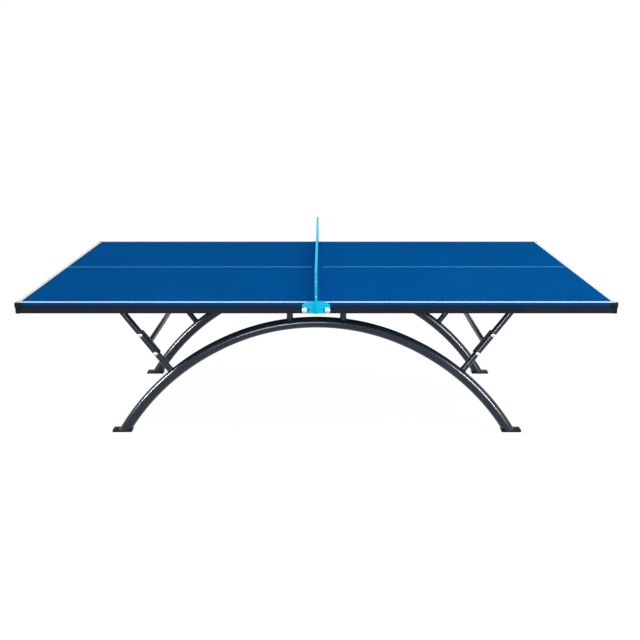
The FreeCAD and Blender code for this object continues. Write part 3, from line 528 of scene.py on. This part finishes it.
def court_paint(name, base):
    """Line paint with slight brush and roller marks."""
    material, tree, shader = make_material(name, base, 0.5, Specular_IOR_Level=0.05)
    marks = noise(tree, scale=60.0, detail=4.0)
    worn = blend_colours(tree, spread(tree, marks), shade(base, 0.96), base)
    tree.links.new(worn, shader.inputs["Base Color"])
    tree.links.new(spread(tree, marks, low=0.42, high=0.58), shader.inputs["Roughness"])
    add_bump(tree, shader, noise(tree, scale=800.0), distance=0.0001, strength=0.3)
    return material


def powder_coat(name, base, roughness, level, peel, bump):
    """Powder coat: even colour with an orange peel of a given fineness and strength."""
    material, tree, shader = make_material(name, base, roughness, Specular_IOR_Level=level)
    cloudy = noise(tree, scale=7.0, detail=3.0)
    peel_height = noise(tree, peel, detail=1.0)
    tint = blend_colours(tree, spread(tree, cloudy), shade(base, 0.88), shade(base, 1.12))
    tree.links.new(tint, shader.inputs["Base Color"])
    uneven = spread(tree, cloudy, low=roughness * 0.85, high=roughness * 1.15)
    tree.links.new(uneven, shader.inputs["Roughness"])
    add_bump(tree, shader, peel_height, distance=0.0003, strength=bump)
    return material


def guard_plastic(colours):
    """Moulded black plastic with a fine spark-eroded grain."""
    base = colours.guard
    material, tree, shader = make_material("guard_plastic", base, 0.55, Specular_IOR_Level=0.06)
    grain = noise(tree, scale=1500.0)
    tint = blend_colours(tree, spread(tree, grain), shade(base, 0.85), shade(base, 1.2))
    tree.links.new(tint, shader.inputs["Base Color"])
    wear = spread(tree, noise(tree, scale=40.0), low=0.42, high=0.58)
    tree.links.new(wear, shader.inputs["Roughness"])
    add_bump(tree, shader, grain, distance=0.0002, strength=0.35)
    return material


def bare_metal(name, base):
    """Bright metal with small changes of roughness and a slight blue cast."""
    material, tree, shader = make_material(name, base, 0.3, Metallic=1.0)
    patches = noise(tree, scale=220.0, detail=3.0)
    cool = tuple(channel * cast for channel, cast in zip(base, METAL_CAST))
    tint = blend_colours(tree, spread(tree, patches), cool, tuple(base))
    tree.links.new(tint, shader.inputs["Base Color"])
    tree.links.new(spread(tree, patches, low=0.24, high=0.42), shader.inputs["Roughness"])
    add_bump(tree, shader, noise(tree, scale=2500.0), distance=0.0001, strength=0.2)
    return material


# Each powder coat's finish, name, colour, roughness, specular level, and its peel's scale and bump.
POWDER_COATS = (
    ("frame", "apron_coat", "apron", 0.5, 0.06, 900.0, 0.25),
    ("legs", "tube_coat", "tube", 0.2, 0.25, 150.0, 0.006),
    ("plates", "plate_coat", "apron", 0.45, 0.1, 400.0, 0.2),
    ("net", "net_coat", "net", 0.4, 0.04, 800.0, 0.2),
    # The screws' coat is the net's paint made paler: partly their own colour, partly a painted
    # highlight.
    ("screws", "screw_coat", "screw", 0.3, 0.3, 800.0, 0.1),
)
FINISHES = {}


def materials():
    """All finishes by name, made once."""
    if not FINISHES:
        colours = bpy.context.scene.table_colours
        FINISHES["top"] = moulded_top(colours)
        FINISHES["lines"] = court_paint("court_paint", tuple(colours.line))
        FINISHES["middle"] = court_paint("middle_paint", tuple(colours.middle))
        for finish, name, base, *look in POWDER_COATS:
            FINISHES[finish] = powder_coat(name, tuple(getattr(colours, base)), *look)
        FINISHES["guards"] = guard_plastic(colours)
        FINISHES["fasteners"] = bare_metal("zinc_plate", colours.zinc)
        FINISHES["sockets"] = bare_metal("socket_steel", colours.steel)
    return FINISHES


# ---------------------------------------------------------------- the arch's geometry

class ArchLine:
    """The right half of the rear arch's centreline: a crest arc and a tangent side arc."""

    def __init__(self, sizes):
        change = sizes.side_radius - sizes.crest_radius
        self.knee = sizes.crest_angle
        self.side_radius = sizes.side_radius
        self.crest = Vector((0, ARCH_Y, CREST_Z - sizes.crest_radius))
        self.side = self.crest - change * Vector((math.sin(self.knee), 0, math.cos(self.knee)))

    def side_angle(self, height):
        """The side arc's angle from the vertical at a height."""
        return math.acos((height - self.side.z) / self.side_radius)

    def side_point(self, angle):
        """The point of the side arc at an angle from the vertical."""
        return self.side + self.side_radius * Vector((math.sin(angle), 0, math.cos(angle)))


def brace_direction(sizes):
    """The right brace's direction, up and outwards."""
    return Vector((math.cos(sizes.brace_angle), 0, math.sin(sizes.brace_angle)))


def beam_middle():
    """The point on the right, rear brace's axis where the cross-beam meets it."""
    return Vector((BEAM_X, ARCH_Y, BEAM_Z))


# ---------------------------------------------------------------- top

# The share of the rounded edge's depth that is painted.
PAINTED_ROUND = 0.25
# The share of the paint's height that a film fills, which keeps it just clear of the panel.
FILM_SHARE = 0.9


class TABLE_OT_top_panels(bpy.types.Operator):
    """Finish the two moulded halves of the playing surface"""
    bl_idname = "table.top_panels"
    bl_label = "Top Panels"

    def execute(self, context):
        coat(materials()["top"], "left_top_panel", "right_top_panel")
        return {"FINISHED"}


class TABLE_OT_court_lines(bpy.types.Operator):
    """Paint the side, end and centre lines on both halves"""
    bl_idname = "table.court_lines"
    bl_label = "Court Lines"

    def border(self, sizes):
        """A film of paint round the right half's upper edge, a line's width wide."""
        top = PANEL_HIGH.z + sizes.paint
        film = block("border", (PANEL_LOW.x, PANEL_LOW.y - sizes.paint, PANEL_LOW.z),
                     (PANEL_HIGH.x + sizes.paint, PANEL_HIGH.y + sizes.paint, top))
        joint = PANEL_LOW.x + sizes.panel_corner
        bevel_where(film, lambda edge: runs_along(edge, 2) and edge_middle(edge).x > joint,
                    sizes.panel_corner + sizes.paint, segments=5)
        round_over = sizes.panel_round + sizes.paint
        bevel_where(film, lambda edge: min(v.co.z for v in edge.verts) > top - MERGE_DISTANCE
                    and edge_middle(edge).x > joint, round_over, segments=5)
        start_edit(film)
        pick(film, "FACE", lambda face: face.normal.z < -FACING or face.normal.x < -FACING)
        bpy.ops.mesh.delete(type="FACE")
        pick(film, "FACE", lambda face: face.normal.z > LEVEL)
        bpy.ops.mesh.inset(thickness=sizes.line_width - round_over, use_boundary=False)
        bpy.ops.mesh.delete(type="FACE")
        lowest = top - round_over * PAINTED_ROUND
        pick(film, "FACE", lambda face: face.calc_center_median().z < lowest)
        bpy.ops.mesh.delete(type="FACE")
        rest()
        return film

    def centre_line(self, sizes):
        """The line along the middle of the right half, from beside the net to the end line."""
        half = sizes.centre_line_width / 2
        top = PANEL_HIGH.z + sizes.paint
        rest()
        bpy.ops.mesh.primitive_plane_add(size=1)
        strip = settle(bpy.context.object, "middle_strip")
        start_edit(strip)
        select_everything()
        low = Vector((sizes.centre_line_gap, -half, top))
        high = Vector((PANEL_HIGH.x - sizes.line_width - sizes.paint, half, top))
        length_and_width = (high.x - low.x, high.y - low.y, 1)
        bpy.ops.transform.resize(value=length_and_width, center_override=(0, 0, 0))
        bpy.ops.transform.translate(value=(low + high) / 2)
        rest()
        return strip

    def execute(self, context):
        sizes = context.scene.table_sizes
        films = ((self.border(sizes), "court_lines", "lines"),
                 (self.centre_line(sizes), "centre_line", "middle"))
        for film, label, finish in films:
            use_modifier(film, "SOLIDIFY", thickness=sizes.paint * FILM_SHARE, offset=-1)
            for side, x_sign in SIDES:
                twin = mirrored(film, f"{side}_{label}", x_sign, 1)
                finish_piece(twin, materials()[finish])
            discard(film)
        return {"FINISHED"}


# ---------------------------------------------------------------- frame

class TABLE_OT_apron_frame(bpy.types.Operator):
    """Finish the steel rails and the corner guards"""
    bl_idname = "table.apron_frame"
    bl_label = "Apron Frame"

    def execute(self, context):
        for side, _ in SIDES:
            for rail in ("end_rail", "joint_rail", "cross_rails"):
                coat(materials()["frame"], f"{side}_{rail}")
        for end, side, _, _ in CORNERS:
            coat(materials()["frame"], f"{end}_{side}_apron_rail", f"{end}_{side}_under_rail")
            coat(materials()["guards"], f"{end}_{side}_corner_guard")
        return {"FINISHED"}


# ---------------------------------------------------------------- legs

# How far a weld bead's ripples swell and shrink it, as a share of its radius.
RIPPLE_SHARE = 0.18


class TABLE_OT_arch_legs(bpy.types.Operator):
    """Bend the two arched leg tubes"""
    bl_idname = "table.arch_legs"
    bl_label = "Arched Legs"

    def execute(self, context):
        tube = arch_tube(ArchLine(context.scene.table_sizes), "arch_tube")
        for end, y_sign in ENDS:
            twin = mirrored(tube, f"{end}_arch_tube", 1, y_sign)
            finish_piece(twin, materials()["legs"], [f"{end}_arch_leg"])
        discard(tube)
        return {"FINISHED"}


def arch_tube(line, name):
    """The rear arch: a ring spun round the three arcs' centres and cut level on the foot plates."""
    below_floor = line.side_angle(-2 * TUBE_RADIUS)
    rest()
    bpy.ops.mesh.primitive_circle_add(vertices=ARCH_SIDES, radius=TUBE_RADIUS,
                                      location=line.side_point(below_floor),
                                      rotation=(0, math.pi / 2 + below_floor, 0))
    tube = settle(bpy.context.object, name)
    start_edit(tube, "VERT")
    select_everything()
    left = Vector((-line.side.x, line.side.y, line.side.z))
    turns = ((line.side, below_floor - line.knee, ARCH_SIDE_STEPS),
             (line.crest, 2 * line.knee, ARCH_CREST_STEPS),
             (left, below_floor - line.knee, ARCH_SIDE_STEPS))
    for centre, turn, steps in turns:
        bpy.ops.mesh.spin(steps=steps, angle=turn, center=centre, axis=(0, 1, 0))
    select_everything()
    bpy.ops.mesh.remove_doubles(threshold=ARCH_MERGE_DISTANCE)
    select_everything()
    bpy.ops.mesh.bisect(plane_co=(0, 0, FOOT_TOP), plane_no=(0, 0, 1), clear_inner=True,
                        use_fill=True)
    select_everything()
    bpy.ops.mesh.normals_make_consistent(inside=False)
    rest()
    return tube


class TABLE_OT_leg_tubes(bpy.types.Operator):
    """Make the posts, braces and cross-beams, shaped where they meet the arches"""
    bl_idname = "table.leg_tubes"
    bl_label = "Posts, Braces and Beams"

    def brace(self, sizes):
        """The right, rear brace: it starts inside the arch and is cut level under its top plate."""
        direction = brace_direction(sizes)
        middle = beam_middle()
        foot = middle - direction * (middle.x - sizes.brace_foot) / direction.x
        rise = TOP_PLATE_LOW + 2 * sizes.brace_radius - middle.z
        above = middle + direction * rise / direction.z
        brace = rod("brace", foot, above, sizes.brace_radius)
        start_edit(brace)
        select_everything()
        bpy.ops.mesh.bisect(plane_co=(0, 0, TOP_PLATE_LOW), plane_no=(0, 0, 1), clear_outer=True,
                            use_fill=True)
        rest()
        return brace

    def execute(self, context):
        sizes = context.scene.table_sizes
        arch = arch_tube(ArchLine(sizes), "arch_cutter")
        brace = self.brace(sizes)
        cut(brace, arch, keep_cutter=True)
        per_corner(brace, "brace_tube", "brace", materials()["legs"])
        post = rod("post", (POST_X, ARCH_Y, CREST_Z - TUBE_RADIUS / 2),
                   (POST_X, ARCH_Y, TOP_PLATE_LOW), POST_RADIUS, THIN_TUBE_SIDES)
        cut(post, arch)
        per_corner(post, "post_tube", "post", materials()["legs"])
        for side, x_sign in SIDES:
            beam = rod(f"{side}_beam_tube", (x_sign * BEAM_X, BEAM_LOW.y, BEAM_Z),
                       (x_sign * BEAM_X, BEAM_HIGH.y, BEAM_Z), BEAM_RADIUS, THIN_TUBE_SIDES)
            finish_piece(beam, materials()["legs"], [f"{side}_cross_beam"])
        return {"FINISHED"}


class TABLE_OT_leg_plates(bpy.types.Operator):
    """Make the foot plates and round the edges of the other plates"""
    bl_idname = "table.leg_plates"
    bl_label = "Plates"

    def execute(self, context):
        sizes = context.scene.table_sizes
        low, high = PLATE_LOW, PLATE_HIGH
        plate = block("foot_plate", low, high)
        bevel_where(plate, lambda edge: runs_along(edge, 2), sizes.plate_corner, segments=6)
        bevel_where(plate, lambda edge: not runs_along(edge, 2), 2 * sizes.edge, segments=2)
        hole = Vector((high.x - sizes.anchor_to_end, ARCH_Y, 0))
        drill = rod("drill", hole - Vector((0, 0, high.z)), hole + Vector((0, 0, 2 * high.z)),
                    sizes.anchor_radius, HOLE_SIDES)
        cut(plate, drill)
        per_corner(plate, "foot_plate_steel", "foot_plate", materials()["plates"])
        for node in ("post_top_plates", "brace_top_plates", "left_beam_end_plates",
                     "right_beam_end_plates"):
            soften(node, 2 * sizes.edge, materials()["legs"])
        return {"FINISHED"}


class TABLE_OT_weld_beads(bpy.types.Operator):
    """Lay weld beads round the ends of the leg tubes"""
    bl_idname = "table.weld_beads"
    bl_label = "Weld Beads"

    def bead(self, tube, sizes, wanted=lambda edge: True):
        """A rippled bead along the sharp edges at a tube's ends."""
        start_edit(tube, "EDGE")
        pick(tube, "EDGE", lambda edge: edge.calc_face_angle(0) > WELD_ANGLE and wanted(edge))
        before = set(bpy.data.objects)
        bpy.ops.mesh.duplicate()
        bpy.ops.mesh.separate(type="SELECTED")
        bead = (set(bpy.data.objects) - before).pop()
        start_edit(bead, "EDGE")
        select_everything()
        bpy.ops.mesh.subdivide(number_cuts=3)
        rest()
        select_only(bead)
        bpy.ops.object.convert(target="CURVE")
        bead.data.bevel_depth = sizes.bead
        bead.data.bevel_resolution = 2
        for spline in bead.data.splines:
            run = 0.0
            for i, point in enumerate(spline.points):
                run += (point.co - spline.points[i - 1].co).length
                point.radius = 1 + RIPPLE_SHARE * math.sin(math.tau * run / sizes.ripple)
        bpy.ops.object.convert(target="MESH")
        return bead

    def execute(self, context):
        sizes = context.scene.table_sizes
        tubes = bpy.data.objects
        beads = [self.bead(tubes["rear_arch_tube"], sizes, lambda edge: edge_middle(edge).x > 0),
                 self.bead(tubes["rear_right_brace_tube"], sizes),
                 self.bead(tubes["rear_right_post_tube"], sizes),
                 self.bead(tubes["right_beam_tube"], sizes, lambda edge: edge_middle(edge).y > 0)]
        whole = joined(beads, "beads")
        for end, side, x_sign, y_sign in CORNERS:
            twin = mirrored(whole, f"{end}_{side}_weld_beads", x_sign, y_sign)
            finish_piece(twin, materials()["legs"], degrees=60.0)
        discard(whole)
        return {"FINISHED"}


# ---------------------------------------------------------------- net

class TABLE_OT_net(bpy.types.Operator):
    """Finish the net's sheet and round the edges of its channels and brackets"""
    bl_idname = "table.net"
    bl_label = "Net"

    def execute(self, context):
        edge = context.scene.table_sizes.edge
        coat(materials()["net"], "net_panel")
        for node in ("net_top_rail", "front_net_post", "rear_net_post", "front_net_bracket",
                     "rear_net_bracket"):
            soften(node, edge, materials()["net"])
        return {"FINISHED"}


# ---------------------------------------------------------------- fasteners

# Profiles of the heads from the top down, as shares of a head's radius and height.
DOME_PROFILE = ((0.45, 1.0), (0.70, 0.93), (0.88, 0.75), (0.97, 0.48), (1.0, 0.20), (1.0, 0.05),
                (0.98, 0.0))
SCREW_PROFILE = ((0.55, 1.0), (0.82, 0.82), (1.0, 0.35), (1.0, 0.0))

# Radius of a thread's root and of a shank's end, as shares of the shank's radius.
THREAD_ROOT = 0.88
SHANK_END = 0.8

# A nut's round face as a share of its flats, its chamfer's slope, and how far the chamfer runs on.
NUT_FACE = 0.96
NUT_CHAMFER = math.radians(30.0)
NUT_MARGIN = 1.05

# A cross recess's reach and half its width, as shares of the head's radius, and its floor's level.
RECESS_ARM = 0.55
RECESS_WIDTH = 0.14
RECESS_FLOOR = 0.45


def head_points(profile, head, height):
    """A head's profile in metres, below the origin."""
    return [(head * radius, -height * level) for radius, level in profile]


def dome_head_bolt(name, shank, head, height, reach, sizes):
    """A round-headed bolt: its head below the origin, its shank along +Z to a threaded tail."""
    profile = head_points(DOME_PROFILE, head, height)
    profile += [(shank, 0.0), (shank, reach - 2 * sizes.tail)]
    turns = int(2 * sizes.tail / sizes.pitch)
    for i in range(turns):
        level = reach - (turns - i) * sizes.pitch
        profile += [(shank * THREAD_ROOT, level + sizes.pitch / 4),
                    (shank, level + sizes.pitch * 3 / 4)]
    profile += [(shank * SHANK_END, reach)]
    return turned(name, profile, HEAD_SIDES)


def chamfered_nut(name, flats, bore, height):
    """A hexagon nut on the origin along +Z, with turned chamfers and an open bore."""
    nut = prism(name, flats, 0, height)
    face, corner = flats / 2 * NUT_FACE, flats / math.sqrt(3)
    outside = corner + bore / 20
    depth = NUT_MARGIN * (corner - face) * math.tan(NUT_CHAMFER)
    envelope = turned("envelope", [(face, 0), (outside, depth), (outside, height - depth),
                                   (face, height)], NUT_SIDES)
    use_modifier(nut, "BOOLEAN", operation="INTERSECT", solver="EXACT", object=envelope)
    discard(envelope)
    cut(nut, rod("bore", (0, 0, -height), (0, 0, 2 * height), bore, BORE_SIDES))
    return nut


class TABLE_OT_brace_bolts(bpy.types.Operator):
    """Make the bolts and nuts that hold the cross-beams on the braces"""
    bl_idname = "table.brace_bolts"
    bl_label = "Brace Bolts"

    def places(self, level, sizes, table):
        """All eight places at a distance from the middle, facing inwards."""
        step = brace_direction(table) * sizes.bolt_spacing / 2
        return [((x_sign * point.x, y_sign * level, point.z), (0, -y_sign, 0))
                for point in (beam_middle() - step, beam_middle() + step)
                for _, _, x_sign, y_sign in CORNERS]

    def execute(self, context):
        sizes, table = context.scene.fastener_sizes, context.scene.table_sizes
        under_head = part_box("brace_bolts")[1].y - sizes.brace_head_height
        nut_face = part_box("brace_nuts")[1].y
        reach = under_head - nut_face + sizes.brace_nut_height + sizes.tail
        bolt = dome_head_bolt("bolt", sizes.m10, sizes.brace_head, sizes.brace_head_height, reach,
                              sizes)
        bolts = at_places(bolt, "brace_dome_bolts", self.places(under_head, sizes, table))
        finish_piece(bolts, materials()["fasteners"], ["brace_bolts"])
        nut = chamfered_nut("nut", sizes.brace_nut, sizes.m10 + sizes.nut_play,
                            sizes.brace_nut_height)
        nuts = at_places(nut, "brace_hex_nuts", self.places(nut_face, sizes, table))
        finish_piece(nuts, materials()["fasteners"], ["brace_nuts"], degrees=20.0)
        for node in ("brace_saddle_washers", "brace_flat_washers"):
            soften(node, table.edge / 2, materials()["fasteners"])
        return {"FINISHED"}


class TABLE_OT_net_bolts(bpy.types.Operator):
    """Make the socket bolts that hold the net's brackets on the apron"""
    bl_idname = "table.net_bolts"
    bl_label = "Net Bolts"

    def execute(self, context):
        sizes, table = context.scene.fastener_sizes, context.scene.table_sizes
        low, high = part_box("net_bracket_bolts")
        under_head = high.y - sizes.net_head_height
        level = (low.z + high.z) / 2
        reach = under_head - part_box("rail_nuts")[1].y + sizes.net_nut_height + sizes.tail
        bolt = dome_head_bolt("bolt", sizes.m8, sizes.net_head, sizes.net_head_height, reach, sizes)
        cut(bolt, prism("socket", sizes.socket, -2 * sizes.net_head_height,
                        sizes.socket_depth - sizes.net_head_height))
        places = [((x * sizes.net_bolt_offset, y * under_head, level), (0, -y, 0))
                  for x in (-1, 1) for y in (-1, 1)]
        bolts = at_places(bolt, "net_socket_bolts", places)
        finish_piece(bolts, materials()["sockets"], ["net_bracket_bolts"])
        soften("net_bracket_washers", table.edge, materials()["fasteners"])
        return {"FINISHED"}


class TABLE_OT_small_fixings(bpy.types.Operator):
    """Make the net's cross-head screws and finish the other fixings"""
    bl_idname = "table.small_fixings"
    bl_label = "Small Fixings"

    def execute(self, context):
        sizes, table = context.scene.fastener_sizes, context.scene.table_sizes
        low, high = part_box("net_screws")
        head, height = high.x, sizes.screw_head_height
        face = high.y - height
        profile = head_points(SCREW_PROFILE, head, height)
        profile += [(head / 2, 0.0), (head / 2, face - PANEL_HIGH.y)]
        screw = turned("screw", profile, SCREW_SIDES)
        arm, width = head * RECESS_ARM, head * RECESS_WIDTH
        for reach_x, reach_y in ((arm, width), (width, arm)):
            cut(screw, block("recess", (-reach_x, -reach_y, -2 * height),
                             (reach_x, reach_y, -height * RECESS_FLOOR)))
        levels = (low.z + head, PANEL_HIGH.z + sizes.middle_screw, high.z - head)
        places = [((0, y * face, level), (0, -y, 0)) for level in levels for y in (-1, 1)]
        screws = at_places(screw, "net_cross_screws", places)
        finish_piece(screws, materials()["screws"], ["net_screws"])
        for node in ("top_plate_bolts", "joint_bolts", "rail_nuts"):
            soften(node, table.edge, materials()["fasteners"])
        coat(materials()["fasteners"], "weld_nuts", "panel_screws")
        coat(materials()["net"], "net_rivets")
        return {"FINISHED"}


# ---------------------------------------------------------------- stage

# The camera's place, its turns from a level look along +Y, and its lens.
CAMERA_PLACE = Vector((0.027, -4.498, 1.736))
CAMERA_YAW = math.radians(-0.14)
CAMERA_PITCH = math.radians(15.82)
CAMERA_ROLL = math.radians(0.04)
CAMERA_LENS = 47.76
SENSOR_WIDTH = 36.0

# The background's strength where it only lights the table, and where it is seen or mirrored.
LIGHT_STRENGTH = 0.65
SEEN_STRENGTH = 1.02

# The floor, and how much of its glow is mixed in where it is seen or mirrored.
FLOOR_SIZE = 60.0
FLOOR_COLOUR = (0.86, 0.86, 0.86)
FLOOR_GLOW = 1.12
FLOOR_GLOW_SHARE = 0.85

# Each lamp's name, place, target, width, height and power, and whether only glossy rays meet it.
SOFTBOXES = (
    ("overhead", (1.1, -0.8, 4.2), (0, 0, 0.7), 4.0, 3.0, 52, False),
    ("right_fill", (4.4, -3.4, 2.2), (0, -0.2, 0.6), 1.6, 1.6, 55, False),
    ("right_strip", (4.1, -3.15, 1.2), (0.85, -0.45, 0.35), 0.5, 1.6, 360, True),
    ("left_strip", (-4.6, -1.7, 2.05), (-0.85, -0.45, 0.35), 0.85, 1.6, 520, True),
    ("front_strip", (-0.8, -5.4, 1.25), (-0.2, -0.45, 0.57), 1.8, 0.8, 210, True),
)


class TABLE_OT_stage(bpy.types.Operator):
    """Set the floor, the studio light and the camera"""
    bl_idname = "table.stage"
    bl_label = "Stage"

    def camera(self):
        """The camera, from its place, its turns and its lens."""
        data = bpy.data.cameras.new("camera")
        data.lens = CAMERA_LENS
        data.sensor_width = SENSOR_WIDTH
        camera = bpy.data.objects.new("camera", data)
        bpy.context.scene.collection.objects.link(camera)
        ahead = Vector((math.sin(CAMERA_YAW) * math.cos(CAMERA_PITCH),
                        math.cos(CAMERA_YAW) * math.cos(CAMERA_PITCH), -math.sin(CAMERA_PITCH)))
        level = Vector((math.cos(CAMERA_YAW), -math.sin(CAMERA_YAW), 0))
        down = ahead.cross(level)
        right = math.cos(CAMERA_ROLL) * level + math.sin(CAMERA_ROLL) * down
        down = math.cos(CAMERA_ROLL) * down - math.sin(CAMERA_ROLL) * level
        turn = Matrix((right, -down, -ahead)).transposed().to_4x4()
        camera.matrix_world = Matrix.Translation(CAMERA_PLACE) @ turn
        bpy.context.scene.camera = camera

    def softbox(self, name, place, target, width, height, power, glossy_only):
        """A soft lamp aimed at a point; a glossy-only one gives highlights and no other light."""
        data = bpy.data.lights.new(name, "AREA")
        data.shape = "RECTANGLE"
        data.size = width
        data.size_y = height
        data.energy = power
        lamp = bpy.data.objects.new(name, data)
        bpy.context.scene.collection.objects.link(lamp)
        lamp.location = place
        lamp.rotation_euler = (Vector(target) - Vector(place)).to_track_quat("-Z", "Y").to_euler()
        lamp.visible_diffuse = not glossy_only

    def seen(self, tree):
        """One for rays from the camera, and for rays off or through a glossy surface."""
        rays = tree.nodes.new("ShaderNodeLightPath")
        first = tree.nodes.new("ShaderNodeMath")
        second = tree.nodes.new("ShaderNodeMath")
        for node in (first, second):
            node.operation = "MAXIMUM"
        tree.links.new(rays.outputs["Is Camera Ray"], first.inputs[0])
        tree.links.new(rays.outputs["Is Glossy Ray"], first.inputs[1])
        tree.links.new(first.outputs[0], second.inputs[0])
        tree.links.new(rays.outputs["Is Transmission Ray"], second.inputs[1])
        return second.outputs[0]

    def world(self):
        """The white background."""
        world = bpy.data.worlds.new("studio")
        bpy.context.scene.world = world
        world.use_nodes = True
        tree = world.node_tree
        background = tree.nodes["Background"]
        background.inputs["Color"].default_value = (1, 1, 1, 1)
        strength = tree.nodes.new("ShaderNodeMapRange")
        strength.inputs["To Min"].default_value = LIGHT_STRENGTH
        strength.inputs["To Max"].default_value = SEEN_STRENGTH
        tree.links.new(self.seen(tree), strength.inputs["Value"])
        tree.links.new(strength.outputs["Result"], background.inputs["Strength"])

    def floor(self):
        """A white floor that glows a little, so that it fades into the background."""
        rest()
        bpy.ops.mesh.primitive_plane_add(size=FLOOR_SIZE)
        floor = settle(bpy.context.object, "floor")
        material, tree, shader = make_material("floor", FLOOR_COLOUR, 0.8, Specular_IOR_Level=0.0)
        glow = tree.nodes.new("ShaderNodeEmission")
        glow.inputs["Strength"].default_value = FLOOR_GLOW
        mix = tree.nodes.new("ShaderNodeMixShader")
        share = tree.nodes.new("ShaderNodeMath")
        share.operation = "MULTIPLY"
        share.inputs[1].default_value = FLOOR_GLOW_SHARE
        tree.links.new(self.seen(tree), share.inputs[0])
        tree.links.new(share.outputs[0], mix.inputs["Fac"])
        tree.links.new(shader.outputs["BSDF"], mix.inputs[1])
        tree.links.new(glow.outputs["Emission"], mix.inputs[2])
        tree.links.new(mix.outputs["Shader"], tree.nodes["Material Output"].inputs["Surface"])
        floor.data.materials.append(material)

    def execute(self, context):
        context.scene.view_settings.view_transform = "Standard"
        self.camera()
        self.world()
        self.floor()
        for lamp in SOFTBOXES:
            self.softbox(*lamp)
        return {"FINISHED"}


# ---------------------------------------------------------------- add-on

OPERATORS = (TABLE_OT_top_panels, TABLE_OT_court_lines, TABLE_OT_apron_frame, TABLE_OT_arch_legs,
             TABLE_OT_leg_tubes, TABLE_OT_leg_plates, TABLE_OT_weld_beads, TABLE_OT_net,
             TABLE_OT_brace_bolts, TABLE_OT_net_bolts, TABLE_OT_small_fixings, TABLE_OT_stage)


class VIEW3D_PT_table(bpy.types.Panel):
    """Lists the steps that finish the table"""
    bl_label = "Table Tennis Table"
    bl_space_type = "VIEW_3D"
    bl_region_type = "UI"
    bl_category = "Table"

    def draw(self, context):
        """The steps' buttons, then every setting."""
        for operator in OPERATORS:
            self.layout.operator(operator.bl_idname)
        scene = context.scene
        for group in (scene.table_sizes, scene.fastener_sizes, scene.table_colours):
            for name in group.__annotations__:
                self.layout.prop(group, name)


CLASSES = (TableSizes, FastenerSizes, TableColours, *OPERATORS, VIEW3D_PT_table)


def register():
    """Adds the settings, the steps and the panel."""
    for cls in CLASSES:
        bpy.utils.register_class(cls)
    bpy.types.Scene.table_sizes = bpy.props.PointerProperty(type=TableSizes)
    bpy.types.Scene.table_colours = bpy.props.PointerProperty(type=TableColours)
    bpy.types.Scene.fastener_sizes = bpy.props.PointerProperty(type=FastenerSizes)


def unregister():
    """Takes them away again."""
    del bpy.types.Scene.table_sizes
    del bpy.types.Scene.table_colours
    del bpy.types.Scene.fastener_sizes
    for cls in reversed(CLASSES):
        bpy.utils.unregister_class(cls)


def main():
    """Runs every step."""
    register()
    for operator in OPERATORS:
        group, name = operator.bl_idname.split(".")
        getattr(getattr(bpy.ops, group), name)()
    rest()


if __name__ == "__main__":
    main()
